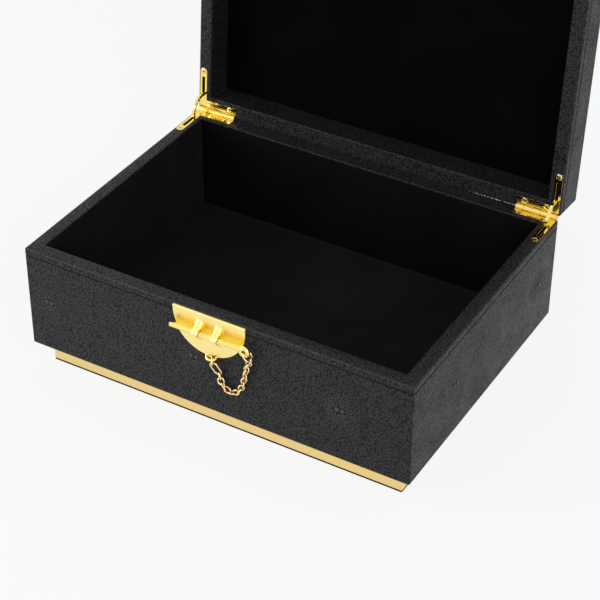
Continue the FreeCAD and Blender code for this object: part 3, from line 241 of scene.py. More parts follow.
def makeFibreboard():
    # Bare medium-density board: matt brown with fine fibres, painted black where the hinge
    # pockets are cut, as painted shade, so that nothing brown shows through the slots.
    board = {"colour": "#6E5640", "pocketShade": "#0E0C0B",
             "fromX": 112 * mm, "fromY": 70 * mm, "upTo": 135 * mm}
    fibres = {"size": 1.43 * mm, "detail": 3.0, "strength": 0.4, "depth": 0.1 * mm}
    material, tree, shader, place = startMaterial("fibreboard", board["colour"],
                                                  {"Roughness": 0.85}, fibres)
    spot = addNode(tree, "ShaderNodeSeparateXYZ", {"Vector": place}).outputs
    aside = addNode(tree, "ShaderNodeMath", {0: spot["X"]}, operation="ABSOLUTE")
    pocket = 1.0
    for value, test, limit in ((aside, "GREATER_THAN", board["fromX"]),
                               (spot["Y"], "GREATER_THAN", board["fromY"]),
                               (spot["Z"], "LESS_THAN", board["upTo"])):
        inside = addNode(tree, "ShaderNodeMath", {0: value, 1: limit}, operation=test)
        pocket = addNode(tree, "ShaderNodeMath", {0: pocket, 1: inside}, operation="MULTIPLY")
    tint = addNode(tree, "ShaderNodeMix", {
        "Factor": pocket, "A": linearColour(board["colour"]), "B": linearColour(board["pocketShade"])},
        data_type="RGBA")
    plug(shader, {"Base Color": tint})
    return material


leather = makeShagreenLeather()
# The same leather where the plate pressed its large pearls: smooth, a little shinier.
pearlLeather = startMaterial(
    "pearlLeather", "#222225", {"Roughness": 0.32, "Specular IOR Level": 0.6},
    {"size": 0.4 * mm, "detail": 2.0, "strength": 0.3, "depth": 0.03 * mm})[0]
# Black polyester thread sunk in its groove: darker and duller than the leather round it.
thread = startMaterial(
    "blackThread", "#0A0A0B", {"Roughness": 0.55, "Specular IOR Level": 0.2},
    {"size": 0.4 * mm, "detail": 2.0, "strength": 0.5, "depth": 0.05 * mm})[0]
baseVelvet = makeVelvet("baseVelvet", "#0C0C0E", sheen=0.08, shine=0.05)
paleLitVelvet = makeVelvet("paleLitVelvet", "#161618", sheen=0.15, shine=0.08)  # a lighter copy of the same velvet: painted light
# The lid's velvet is a darker copy of the same velvet, without bloom: painted shade.
shadedLidVelvet = makeVelvet("shadedLidVelvet", "#070708", sheen=0.0, shine=0.02)
claspGilt = makeGilt("polishedClaspGilt", "#FFE890", roughness=0.17, scratches=0.1)
chainGilt = makeGilt("chainGilt", "#FBDCA4", roughness=0.2, scratches=0.1)
plateGilt = makePlateGilt()
hingeGilt = makeGilt("polishedHingeGilt", "#FCDF7C", roughness=0.12, scratches=0.1)
screwGilt = makeGilt("brightScrewGilt", "#FBE3A0", roughness=0.15, scratches=0.1)
plinthGilt = makeGilt("satinPlinthGilt", "#EED28C", roughness=0.3, scratches=0.5,
                      stretch=(0.04, 0.04, 1))
fibreboard = makeFibreboard()
# Pressed wool felt: fully matt, a little fuzzy.
felt = startMaterial(
    "pressedFelt", "#0E0E0F", {"Roughness": 1.0, "Specular IOR Level": 0.1},
    {"size": 0.833 * mm, "detail": 4.0, "strength": 0.8, "depth": 0.2 * mm})[0]
print("materials made")


# Mesh helpers

cornerSteps = 6  # steps round each corner of every level loop
leastRadius = 0.02 * mm
hair = 1e-6  # closer than this counts as touching


def smoothShading(mesh, sharpDegrees=35):
    mesh.polygons.foreach_set("use_smooth", [True] * len(mesh.polygons))
    mesh.set_sharp_from_angle(angle=math.radians(sharpDegrees))


def addObject(name, data):
    thing = bpy.data.objects.new(name, data)
    bpy.context.scene.collection.objects.link(thing)
    return thing


def fromBmesh(name, shape, material, sharpDegrees=35):
    bmesh.ops.remove_doubles(shape, verts=shape.verts, dist=1e-7)
    bmesh.ops.recalc_face_normals(shape, faces=shape.faces)
    mesh = bpy.data.meshes.new(name)
    shape.to_mesh(mesh)
    shape.free()
    smoothShading(mesh, sharpDegrees)
    mesh.materials.append(material)
    return addObject(name, mesh)


def applyModifiers(piece):
    bpy.context.view_layer.update()
    evaluated = piece.evaluated_get(bpy.context.evaluated_depsgraph_get())
    finished = bpy.data.meshes.new_from_object(evaluated)
    old = piece.data
    piece.modifiers.clear()
    piece.data = finished
    bpy.data.meshes.remove(old)
    return piece


def swing(piece):
    # From the closed lid's place to the open lid's.
    piece.data.transform(lidSwing)
    return piece


def toLid(piece):
    # What is drawn on the base's rim becomes the lid's: mirrored over the seam and swung open.
    piece.data.transform(seamMirror)
    piece.data.flip_normals()
    return swing(piece)


def settle(piece, body, slotName, *nodes):
    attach(piece, body)
    if nodes:
        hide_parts(*nodes)
    return piece


def smoothStep(value, low, high):
    share = min(1.0, max(0.0, (value - low) / (high - low)))
    return share * share * (3 - 2 * share)


def roundedLoop(inset, height, radius, halfX, halfY):
    # One level loop of a rectangle with round corners, beginning at the back right one.
    reachX, reachY = halfX - inset, halfY - inset
    radius = max(radius, leastRadius)
    points = []
    for quarter, (signX, signY) in enumerate(((1, 1), (-1, 1), (-1, -1), (1, -1))):
        for step in range(cornerSteps + 1):
            angle = (quarter + step / cornerSteps) * math.pi / 2
            points.append((signX * (reachX - radius) + radius * math.cos(angle),
                           signY * (reachY - radius) + radius * math.sin(angle), height))
    return points


def loft(loops, closed, shape=None):
    # Bridges loops into one skin, in a new shape or a given one. An open run of loops gets a face
    # at both ends.
    shape = shape or bmesh.new()
    rows = [[shape.verts.new(point) for point in loop] for loop in loops]
    for low, high in zip(rows, rows[1:] + rows[:1] if closed else rows[1:]):
        for index in range(len(low)):
            following = (index + 1) % len(low)
            shape.faces.new((low[index], low[following], high[following], high[index]))
    if not closed:
        shape.faces.new(rows[0])
        shape.faces.new(rows[-1])
    return shape


def arcPoints(centreInset, centreHeight, radius, fromDegrees, toDegrees, steps):
    # (inset, height) points on an arc; 0 degrees points inwards and 90 degrees up.
    points = []
    for step in range(steps + 1):
        angle = math.radians(fromDegrees + (toDegrees - fromDegrees) * step / steps)
        points.append((centreInset + radius * math.cos(angle),
                       centreHeight + radius * math.sin(angle)))
    return points


def cutterMesh(shape):
    mesh = bpy.data.meshes.new("cutter")
    shape.to_mesh(mesh)
    shape.free()
    return mesh


def boxMesh(low, high):
    shape = bmesh.new()
    bmesh.ops.create_cube(shape, size=1)
    centre = (Vector(low) + Vector(high)) / 2
    size = Vector(high) - Vector(low)
    bmesh.ops.transform(shape, verts=shape.verts,
                        matrix=Matrix.Translation(centre) @ Matrix.Diagonal((*size, 1)))
    return cutterMesh(shape)


def rodMesh(start, along, radius):
    shape = bmesh.new()
    along = Vector(along)
    turn = Vector((0, 0, 1)).rotation_difference(along.normalized()).to_matrix().to_4x4()
    bmesh.ops.create_cone(shape, cap_ends=True, segments=32, radius1=radius, radius2=radius,
                          depth=along.length,
                          matrix=Matrix.Translation(Vector(start) + along / 2) @ turn)
    return cutterMesh(shape)


def carve(piece, cutters):
    # Cuts meshes out of a piece one after the other.
    helpers = []
    for mesh in cutters:
        helpers.append(addObject("cutter", mesh))
        modifier = piece.modifiers.new("carve", "BOOLEAN")
        modifier.operation, modifier.solver = "DIFFERENCE", "EXACT"
        modifier.object = helpers[-1]
    applyModifiers(piece)
    for helper, mesh in zip(helpers, cutters):
        bpy.data.objects.remove(helper)
        bpy.data.meshes.remove(mesh)
    return piece


# Geometry Nodes

def startTree(name, values, *keys):
    # A tree with one named input for each of these sizes.
    sizes = {key.capitalize(): values[key] for key in keys}
    tree = bpy.data.node_groups.new(name, "GeometryNodeTree")
    tree.interface.new_socket("Geometry", in_out="INPUT", socket_type="NodeSocketGeometry")
    kinds = {float: "NodeSocketFloat", int: "NodeSocketInt"}
    for label, value in sizes.items():
        tree.interface.new_socket(label, in_out="INPUT", socket_type=kinds[type(value)])
    tree.interface.new_socket("Geometry", in_out="OUTPUT", socket_type="NodeSocketGeometry")
    given, out = addNode(tree, "NodeGroupInput").outputs, addNode(tree, "NodeGroupOutput")
    return tree, sizes, given, out


def finishTree(tree, out, instances, material, smooth=True):
    solid = addNode(tree, "GeometryNodeRealizeInstances", {"Geometry": instances})
    if smooth:
        solid = addNode(tree, "GeometryNodeSetShadeSmooth", {"Geometry": solid})
    painted = addNode(tree, "GeometryNodeSetMaterial", {"Geometry": solid, "Material": material})
    plug(out, {"Geometry": painted})


def runTree(name, tree, sizes, guide, material):
    # Runs a tree on a guide mesh and keeps the plain mesh that comes out.
    piece = addObject(name, guide)
    modifier = piece.modifiers.new(name, "NODES")
    modifier.node_group = tree
    for item in tree.interface.items_tree:
        if item.in_out == "INPUT" and item.name in sizes:
            modifier[item.identifier] = sizes[item.name]
    applyModifiers(piece)
    piece.data.materials.clear()
    piece.data.materials.append(material)
    return piece


def guideLine(points, closed):
    mesh = bpy.data.meshes.new("guide")
    edges = [(index, index + 1) for index in range(len(points) - 1)]
    if closed:
        edges.append((len(points) - 1, 0))
    mesh.from_pydata(points, edges, [])
    return mesh


# Leather covers: skins that turn over the rims, with a stitched groove near each rim

# Two values here set painted light on the rim: the side edges' share of the paler painted
# highlight, and the painted shade in the groove.
cover = {"edge": 1.3 * mm, "innerEdge": 0.7 * mm, "innerCorner": 1.4 * mm, "turnIn": 14 * mm,
         "stitchDrop": 5.7 * mm, "grooveHalf": 0.8 * mm, "grooveDepth": 0.3 * mm,
         "grooveFloor": 0.4, "crown": 0.12 * mm, "ease": 0.3 * mm, "roofSpan": 25 * mm,
         "sideSheenAndWear": 0.3, "grooveShade": -0.5, "grooveMark": 0.6, "edgeSteps": 6, "innerSteps": 4}
# Shares of the rim's width, and of the crown's height there.
crownLine = ((0.32, 0.8), (0.5, 1.0), (0.72, 0.7))

# Between the hinges the two back edges swell out and meet on the hinge axis, as in the photo,
# where only pricks of light come through. The base's lip reaches a little under the lid's.
lip = {"radius": 0.12 * mm, "height": 0.02 * mm, "reach": 0.75 * mm, "lidReach": -0.03 * mm,
       "from": 118.5 * mm, "to": 117 * mm, "slackFrom": 50 * mm, "slackTo": 90 * mm,
       "slackReach": 0.1 * mm, "ripple": 0.45 * mm, "rippleLength": 1.3 * mm,
       "rippleStep": 0.6 * mm, "plainStep": 8 * mm}

# What the hinges need cut out of a rim at its two back corners.
seat = {"room": 0.1 * mm, "outer": 148.8 * mm, "legEnd": 117.0 * mm, "legFront": 101.9 * mm,
        "legBack": 112 * mm, "armWidth": 5.8 * mm, "armEnd": 78.5 * mm, "armBack": 103 * mm,
        "low": 96.3 * mm, "high": 99.5 * mm, "barrel": 2.8 * mm}


def lipStops():
    # Places along the back, from right to left: close together only where the edge ripples.
    stops, x = [], lip["from"]
    while x > -lip["to"]:
        stops.append(x)
        x -= lip["rippleStep"] if lip["slackFrom"] < x else lip["plainStep"]
    return stops + [-lip["to"], -lip["from"]]


def drawnOut(point, tipPoint, reach):
    # A point of the back edge, moved to its place on the lip.
    drawn = 1 - smoothStep(abs(point.x), lip["to"], lip["from"])
    slack = smoothStep(point.x, lip["slackFrom"], lip["slackTo"]) if reach > 0 else 0
    ripple = noise.noise(Vector((point.x / lip["rippleLength"], 0.5, 0.5)))
    out = reach * (1 - slack) + slack * (lip["slackReach"] + ripple * lip["ripple"])
    tipInset, tipHeight = tipPoint
    target = Vector((point.x, box["halfDepth"] - tipInset + out, tipHeight - lip["height"]))
    return point.lerp(target, drawn)


def coverLoops(profile, reach):
    # Each loop gets extra points along the back, so that its edge can be drawn out to the lip.
    loops = []
    start = next(index for index, (inset, height) in enumerate(profile)
                 if height > box["rim"] - cover["edge"] - hair)
    tip = arcPoints(lip["radius"] - (box["axisY"] - box["halfDepth"]),
                    box["axisZ"] - lip["radius"], lip["radius"], 180, 90, cover["edgeSteps"])
    corner = cornerSteps + 1
    for index, (inset, height) in enumerate(profile):
        inside = box["rimWidth"] - 2 * cover["innerEdge"] < inset < box["rimWidth"] + hair
        radius = cover["innerCorner"] if inside else cover["edge"] - inset
        loop = roundedLoop(inset, height, radius, box["halfWidth"], box["halfDepth"])
        rightEnd, leftEnd = Vector(loop[corner - 1]), Vector(loop[corner])
        back = []
        for stop in lipStops():
            point = rightEnd.lerp(leftEnd, (rightEnd.x - stop) / (rightEnd.x - leftEnd.x))
            if start <= index < start + len(tip):
                point = drawnOut(point, tip[index - start], reach)
            back.append(tuple(point))
        loops.append(loop[:corner] + back + loop[corner:])
    return loops


def skinProfile(low):
    # (inset, height) points up the outside, through the groove, over the rim and down inside.
    rim, wide, edge, inner = box["rim"], box["rimWidth"], cover["edge"], cover["innerEdge"]
    half, deep, ease = cover["grooveHalf"], cover["grooveDepth"], cover["ease"]
    groove, floorHalf = rim - cover["stitchDrop"], half * cover["grooveFloor"]
    points = arcPoints(edge, low + edge, edge, 270, 180, cover["edgeSteps"])
    points += [(0, low + edge + ease), (0, groove - half - ease), (0, groove - half),
               (deep, groove - floorHalf), (deep, groove + floorHalf), (0, groove + half),
               (0, groove + half + ease), (0, rim - edge - ease)]
    points += arcPoints(edge, rim - edge, edge, 180, 90, cover["edgeSteps"])
    points += [(wide * share, rim + cover["crown"] * height) for share, height in crownLine]
    points += arcPoints(wide - inner, rim - inner, inner, 90, 0, cover["innerSteps"])
    return points + [(wide, rim - box["leather"]), (box["leather"], rim - box["leather"])]


def hingeSeats():
    room, low, high = seat["room"], seat["low"], seat["high"]
    wide, armEnd, far = seat["armWidth"], seat["armEnd"], seat["outer"] + seat["room"]
    cutters = []
    for side in (-1, 1):
        legLow, legHigh = sorted((side * (seat["legEnd"] - room), side * far))
        armLow, armHigh = sorted((side * (seat["outer"] - wide - room), side * far))
        cutters += [
            boxMesh((legLow, seat["legFront"], low), (legHigh, seat["legBack"], high)),
            boxMesh((armLow, armEnd, low), (armHigh, seat["armBack"], high)),
            rodMesh((side * (seat["outer"] - wide / 2), armEnd, low), (0, 0, high - low),
                    wide / 2 + room),
            rodMesh((legLow, box["axisY"], box["axisZ"]), (legHigh - legLow, 0, 0),
                    seat["barrel"])]
    return cutters


def markWearSheenAndShade(piece):
    # Above 0 on the outer edge of the rim, most at the front: a painted highlight, partly wear.
    # Below 0 in the stitched groove: painted shade.
    edge, groove = cover["edge"], box["rim"] - cover["stitchDrop"]
    grooveReach = cover["grooveHalf"] * cover["grooveMark"]
    marks = piece.data.attributes.new("wearSheenAndShade", "FLOAT", "POINT")
    values = []
    for vertex in piece.data.vertices:
        x, y, z = vertex.co
        inset = min(box["halfWidth"] - abs(x), box["halfDepth"] - abs(y))
        drop = box["rim"] - z
        if abs(z - groove) < grooveReach and inset < 2 * cover["grooveDepth"]:
            values.append(cover["grooveShade"])
        elif max(inset, drop) < edge + hair and y < box["halfDepth"] - edge:
            share = 1.0 if y < edge - box["halfDepth"] else cover["sideSheenAndWear"]
            values.append(share * max(0.0, 1 - abs(inset - drop) / edge))
        else:
            values.append(0.0)
    marks.data.foreach_set("value", values)


def leatherCover(name, profile, reach, closed):
    piece = fromBmesh(name, loft(coverLoops(profile, reach), closed), leather)
    carve(piece, hingeSeats())
    markWearSheenAndShade(piece)
    smoothShading(piece.data)
    return piece


def baseCover():
    bottom, skin = box["bodyBottom"], box["leather"]
    turned = skin + cover["turnIn"]  # the skin turns in under the walls
    profile = skinProfile(bottom) + [(skin, bottom + skin), (turned, bottom + skin),
                                     (turned, bottom)]
    return leatherCover("baseLeather", profile, lip["reach"], closed=True)


def lidCover():
    # Drawn upside down on the base's rim. The loops end a little way in, and one face on the
    # outside and one on the inside close the roof.
    roof, skin, span = box["rim"] - box["lidHeight"], box["leather"], cover["roofSpan"]
    profile = [(span, roof), (span / 2, roof)] + skinProfile(roof)
    profile += [(skin, roof + skin), (span, roof + skin)]
    return toLid(leatherCover("lidLeather", profile, lip["lidReach"], closed=False))


settle(baseCover(), "base", "leather", "base_leather_cover")
settle(lidCover(), "lid", "leather", "lid_leather_cover")


# The leather band round the lid's inner walls, from the rim down to the velvet

innerBand = {"halfX": 140.8 * mm, "halfY": 100.8 * mm, "thickness": 1.1 * mm, "depth": 23.4 * mm,
             "outerDrop": 1.3 * mm, "topDrop": 1.25 * mm, "topShare": 0.6, "topCorner": 1.2 * mm,
             "innerDrop": 1.8 * mm, "corner": 1.4 * mm}


def lidBand():
    rim, thick, corner = box["rim"], innerBand["thickness"], innerBand["corner"]
    deep = rim - innerBand["depth"]
    profile = ((0, rim - innerBand["outerDrop"], 0),
               (thick * innerBand["topShare"], rim - innerBand["topDrop"],
                innerBand["topCorner"]),
               (thick, rim - innerBand["innerDrop"], corner), (thick, deep, corner),
               (0, deep, 0))
    loops = [roundedLoop(inset, height, radius, innerBand["halfX"], innerBand["halfY"])
             for inset, height, radius in profile]
    return toLid(fromBmesh("lidBand", loft(loops, closed=True), leather))


settle(lidBand(), "lid", "leather", "lid_inner_leather")
print("leather covers made")


# Stitches: one short bead of thread after another along the groove, none behind the clasp

stitch = {"pitch": 3.3 * mm, "length": 2.5 * mm, "thickness": 0.55 * mm, "sink": 0.12 * mm,
          "clasp": 29 * mm}


def stitchTree():
    tree, sizes, given, out = startTree("stitchRow", stitch, "pitch", "length", "thickness",
                                        "clasp")
    line = addNode(tree, "GeometryNodeMeshToCurve", {"Mesh": given["Geometry"]})
    marks = addNode(tree, "GeometryNodeResampleCurve", {"Curve": line, "Length": given["Pitch"]},
                    mode="LENGTH")
    along = addNode(tree, "GeometryNodeInputTangent")
    turn = addNode(tree, "FunctionNodeAlignRotationToVector", {"Vector": along}, axis="X")
    bead = addNode(tree, "GeometryNodeMeshUVSphere", {"Segments": 8, "Rings": 6, "Radius": 0.5})
    size = addNode(tree, "ShaderNodeCombineXYZ", {
        "X": given["Length"], "Y": given["Thickness"], "Z": given["Thickness"]})
    place = addNode(tree, "GeometryNodeInputPosition")
    spot = addNode(tree, "ShaderNodeSeparateXYZ", {"Vector": place}).outputs
    across = addNode(tree, "ShaderNodeMath", {0: spot["X"]}, operation="ABSOLUTE")
    aside = addNode(tree, "ShaderNodeMath", {0: across, 1: given["Clasp"]},
                    operation="GREATER_THAN")
    behind = addNode(tree, "ShaderNodeMath", {0: spot["Y"], 1: 0.0}, operation="GREATER_THAN")
    shown = addNode(tree, "ShaderNodeMath", {0: aside, 1: behind}, operation="MAXIMUM")
    rows = addNode(tree, "GeometryNodeInstanceOnPoints", {
        "Points": marks, "Selection": shown, "Instance": bead, "Rotation": turn, "Scale": size})
    finishTree(tree, out, rows, thread)
    return tree, sizes


def stitchRow(name):
    path = roundedLoop(stitch["sink"], box["rim"] - cover["stitchDrop"],
                       cover["edge"] - stitch["sink"], box["halfWidth"], box["halfDepth"])
    return runTree(name, *stitchTree(), guideLine(path, closed=True), thread)


settle(stitchRow("baseStitches"), "base", "leather")
settle(toLid(stitchRow("lidStitches")), "lid", "leather")
print("stitches made")


# Pearls: the clusters of larger domes that a shagreen plate embosses at wide intervals. Their
# places along the walls and on the lid are in mm.

pearl = {"count": 130, "spread": 1.12 * mm, "largest": 1.05 * mm, "smallest": 0.4 * mm,
         "flat": 0.6, "middle": 1.75 * mm, "apart": 2.0 * mm, "height": 59 * mm,
         "site": 0.1 * mm,
         "front": (-132, -13.3, 98), "back": (-98, 15, 130), "right": (-47, 81),
         "left": (-60, 60), "lidAcross": (-115, 0, 115), "lidAlong": (-57, 57)}
sunflowerTurn = math.pi * (3 - math.sqrt(5))


def pearlSpots(tree, given):
    # The first two pearls lie side by side, the rest in sunflower order round them.
    order = addNode(tree, "GeometryNodeInputIndex")
    paired = addNode(tree, "ShaderNodeMath", {0: order, 1: 2.0}, operation="LESS_THAN")
    root = addNode(tree, "ShaderNodeMath", {0: order}, operation="SQRT")
    reach = addNode(tree, "ShaderNodeMath", {0: root, 1: given["Spread"]}, operation="MULTIPLY")
    angle = addNode(tree, "ShaderNodeMath", {0: order, 1: sunflowerTurn}, operation="MULTIPLY")
    arm = addNode(tree, "ShaderNodeCombineXYZ", {"X": reach})
    ringSpot = addNode(tree, "ShaderNodeVectorRotate", {"Vector": arm, "Angle": angle},
                       rotation_type="Z_AXIS")
    # The pair goes to -1 and +1 times the distance apart.
    side = addNode(tree, "ShaderNodeMath", {0: order, 1: 2.0, 2: -1.0}, operation="MULTIPLY_ADD")
    pairX = addNode(tree, "ShaderNodeMath", {0: side, 1: given["Apart"]}, operation="MULTIPLY")
    pairSpot = addNode(tree, "ShaderNodeCombineXYZ", {"X": pairX})
    spot = addNode(tree, "ShaderNodeMix", {"Factor": paired, "A": ringSpot, "B": pairSpot},
                   data_type="VECTOR")
    # A small pearl is left out where it would touch the pair: inside an oval round both.
    short = addNode(tree, "ShaderNodeMath", {0: given["Middle"], 1: given["Largest"]},
                    operation="ADD")
    long = addNode(tree, "ShaderNodeMath", {0: given["Apart"], 1: short}, operation="ADD")
    oval = addNode(tree, "ShaderNodeCombineXYZ", {"X": long, "Y": short, "Z": 1.0})
    share = addNode(tree, "ShaderNodeVectorMath", {0: ringSpot, 1: oval}, operation="DIVIDE")
    away = addNode(tree, "ShaderNodeVectorMath", {0: share}, operation="LENGTH").outputs["Value"]
    free = addNode(tree, "ShaderNodeMath", {0: away, 1: 1.0}, operation="GREATER_THAN")
    shown = addNode(tree, "ShaderNodeMath", {0: paired, 1: free}, operation="MAXIMUM")
    return order, paired, spot, shown


def pearlTree():
    tree, sizes, given, out = startTree("pearlCluster", pearl, "count", "spread", "largest",
                                        "smallest", "middle", "apart", "flat")
    order, paired, spot, shown = pearlSpots(tree, given)
    spots = addNode(tree, "GeometryNodePoints", {"Count": given["Count"], "Position": spot})
    place = addNode(tree, "ShaderNodeMath", {0: order, 1: given["Count"]}, operation="DIVIDE")
    late = addNode(tree, "ShaderNodeMath", {0: place, 1: 0.5}, operation="POWER")
    size = addNode(tree, "ShaderNodeMapRange", {
        "Value": late, "To Min": given["Largest"], "To Max": given["Smallest"]})
    radius = addNode(tree, "ShaderNodeMix", {"Factor": paired, "A": size, "B": given["Middle"]})
    height = addNode(tree, "ShaderNodeMath", {0: radius, 1: given["Flat"]}, operation="MULTIPLY")
    dome = addNode(tree, "GeometryNodeMeshUVSphere", {"Segments": 8, "Rings": 5, "Radius": 1.0})
    scale = addNode(tree, "ShaderNodeCombineXYZ", {"X": radius, "Y": radius, "Z": height})
    cluster = addNode(tree, "GeometryNodeInstanceOnPoints", {
        "Points": spots, "Selection": shown, "Instance": dome, "Scale": scale})
    # Each cluster faces out of its wall, with the pair level.
    normal = addNode(tree, "GeometryNodeInputNormal").outputs["Normal"]
    level = addNode(tree, "ShaderNodeVectorMath", {0: (0, 0, 1), 1: normal},
                    operation="CROSS_PRODUCT")
    outward = addNode(tree, "FunctionNodeAlignRotationToVector", {"Vector": normal}, axis="Z")
    levelled = addNode(tree, "FunctionNodeAlignRotationToVector", {
        "Rotation": outward, "Vector": level}, axis="X", pivot_axis="Z")
    kept = addNode(tree, "GeometryNodeCaptureAttribute", {"Geometry": given["Geometry"]},
                   domain="FACE")
    kept.capture_items.new("ROTATION", "Turn")
    plug(kept, {"Turn": levelled})
    sites = addNode(tree, "GeometryNodeMeshToPoints", {"Mesh": kept.outputs["Geometry"]},
                    mode="FACES")
    spread = addNode(tree, "GeometryNodeInstanceOnPoints", {
        "Points": sites, "Instance": cluster, "Rotation": kept.outputs["Turn"]})
    finishTree(tree, out, spread, pearlLeather)
    return tree, sizes


def siteMesh(sites):
    # A tiny face at each site, facing outwards.
    mesh = bpy.data.meshes.new("sites")
    points, faces = [], []
    for place, normal in sites:
        place, normal = Vector(place), Vector(normal)
        side = normal.orthogonal().normalized() * pearl["site"]
        other = normal.cross(side)
        faces.append([len(points) + index for index in range(3)])
        points += [place + side, place + other, place - side - other]
    mesh.from_pydata(points, [], faces)
    return mesh


def pearls(name, sites):
    return runTree(name, *pearlTree(), siteMesh(sites), pearlLeather)


def pearlSites():
    # Places and directions on the base's four walls and on the closed lid's top.
    wallX, wallY, height = box["halfWidth"], box["halfDepth"], pearl["height"]
    top = box["rim"] + box["seam"] + box["lidHeight"]
    walls = [((x * mm, -wallY, height), (0, -1, 0)) for x in pearl["front"]]
    walls += [((x * mm, wallY, height), (0, 1, 0)) for x in pearl["back"]]
    walls += [((wallX, y * mm, height), (1, 0, 0)) for y in pearl["right"]]
    walls += [((-wallX, y * mm, height), (-1, 0, 0)) for y in pearl["left"]]
    lid = [((x * mm, y * mm, top), (0, 0, 1))
           for x in pearl["lidAcross"] for y in pearl["lidAlong"]]
    return walls, lid


wallSites, lidSites = pearlSites()
settle(pearls("basePearls", wallSites), "base", "leather")
settle(swing(pearls("lidPearls", lidSites)), "lid", "leather")
print("pearls made")


# Velvet panels: card wrapped in velvet, so every edge is round and the face a little full

velvetPanel = {"edge": 0.5 * mm, "edgeStop": 0.15 * mm, "fullness": 0.35 * mm, "grid": 12 * mm,
               "lidHalfX": 140.8 * mm, "lidHalfY": 99.8 * mm,
               "lidFace": 122.0 * mm, "lidBack": 123.1 * mm}


def gridStops(length):
    # Places across a panel, with two more close to each edge for its rounding.
    edge, near = velvetPanel["edge"], velvetPanel["edgeStop"]
    count = max(2, round(length / velvetPanel["grid"]))
    inner = [edge + (length - 2 * edge) * step / count for step in range(count + 1)]
    return [0, near] + inner + [length - near, length]


def softPanel(name, low, high, face, material):
    # face is (axis, sign) of the side that shows.
    low, high = Vector(low), Vector(high)
    size = high - low
    axis, sign = face
    first, second = [index for index in range(3) if index != axis]
    edge = velvetPanel["edge"]

    def panelPoint(u, v, height):
        point = Vector((0, 0, 0))
        point[first], point[second] = low[first] + u, low[second] + v
        point[axis] = low[axis] + height if sign > 0 else high[axis] - height
        return point

    def lift(u, v):
        # 0 at the panel's border, full height inside, with a soft crown.
        near = min(u, v, size[first] - u, size[second] - v)
        rounding = math.sqrt(max(0.0, 1 - (1 - min(1.0, near / edge)) ** 2))
        crown = math.sin(math.pi * u / size[first]) * math.sin(math.pi * v / size[second])
        swell = velvetPanel["fullness"] * max(0.0, crown) ** 0.5
        return size[axis] - edge + (edge + swell) * rounding

    # Each loop runs over the face and back under it.
    columns = gridStops(size[second])
    loops = [[panelPoint(u, v, lift(u, v)) for v in columns]
             + [panelPoint(u, v, 0.0) for v in reversed(columns)]
             for u in gridStops(size[first])]
    return fromBmesh(name, loft(loops, closed=False), material, sharpDegrees=60)


for side, face, velvet in (("front", (1, 1), baseVelvet), ("back", (1, -1), baseVelvet),
                           ("left", (0, 1), paleLitVelvet), ("right", (0, -1), baseVelvet)):
    low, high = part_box("base_lining_" + side)
    panel = softPanel("velvet" + side.capitalize(), low, high, face, velvet)
    settle(panel, "base", "velvet", "base_lining_" + side)
low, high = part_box("base_floor_pad")
floorPad = softPanel("velvetFloor", low, high, (2, 1), paleLitVelvet)
settle(floorPad, "base", "velvet", "base_floor_pad")

wide, deep = velvetPanel["lidHalfX"], velvetPanel["lidHalfY"]
lidPanel = softPanel("velvetLid", (-wide, -deep, velvetPanel["lidFace"]),
                     (wide, deep, velvetPanel["lidBack"]), (2, -1), shadedLidVelvet)
settle(swing(lidPanel), "lid", "velvet", "lid_velvet_panel")
print("velvet panels made")


# Plinth band: brass sheet bent round four corners

plinth = {"inset": 10 * mm, "thickness": 0.8 * mm, "corner": 0.9 * mm, "edge": 0.25 * mm,
          "bottom": 1.2 * mm, "top": 17.7 * mm, "steps": 3}


def plinthBand():
    halfX, halfY = box["halfWidth"] - plinth["inset"], box["halfDepth"] - plinth["inset"]
    edge, thick, low, high = (plinth[size] for size in ("edge", "thickness", "bottom", "top"))
    profile = arcPoints(edge, low + edge, edge, 270, 180, plinth["steps"])
    profile += arcPoints(edge, high - edge, edge, 180, 90, plinth["steps"])
    profile += [(thick, high), (thick, low)]
    loops = [roundedLoop(inset, height, plinth["corner"] - inset, halfX, halfY)
             for inset, height in profile]
    return fromBmesh("plinthBand", loft(loops, closed=True), plinthGilt)


settle(plinthBand(), "base", "plinth_brass", "plinth_band")


# Felt foot: a thin slab with soft edges that the box's weight presses out to the band's face

foot = {"inset": 9.9 * mm, "height": 1.2 * mm, "edge": 0.2 * mm, "corner": 1.2 * mm,
        "span": 20 * mm, "steps": 3}


def feltFoot():
    # The loops end a little way in, and one face below and one above close the slab.
    halfX, halfY = box["halfWidth"] - foot["inset"], box["halfDepth"] - foot["inset"]
    edge, span, top = foot["edge"], foot["span"], foot["height"]
    profile = [(span, 0)] + arcPoints(edge, edge, edge, 270, 180, foot["steps"])
    profile += arcPoints(edge, top - edge, edge, 180, 90, foot["steps"]) + [(span, top)]
    loops = [roundedLoop(inset, height, foot["corner"] - min(inset, edge), halfX, halfY)
             for inset, height in profile]
    return fromBmesh("feltFoot", loft(loops, closed=False), felt)


settle(feltFoot(), "base", "felt", "foot_felt")


# Screws with cross recesses in the hinge leaves

screw = {"head": 2.15 * mm, "shank": 1.1 * mm, "length": 12 * mm, "dome": 0.35 * mm,
         "slotLength": 2.5 * mm, "slotWidth": 0.45 * mm, "slotDepth": 0.7 * mm, "sides": 24,
         "twist": 0.6, "domeShares": (0.3, 0.55, 0.8, 1.0),
         "places": ((122.5, 104.4), (139.5, 104.4), (145.9, 78.5))}


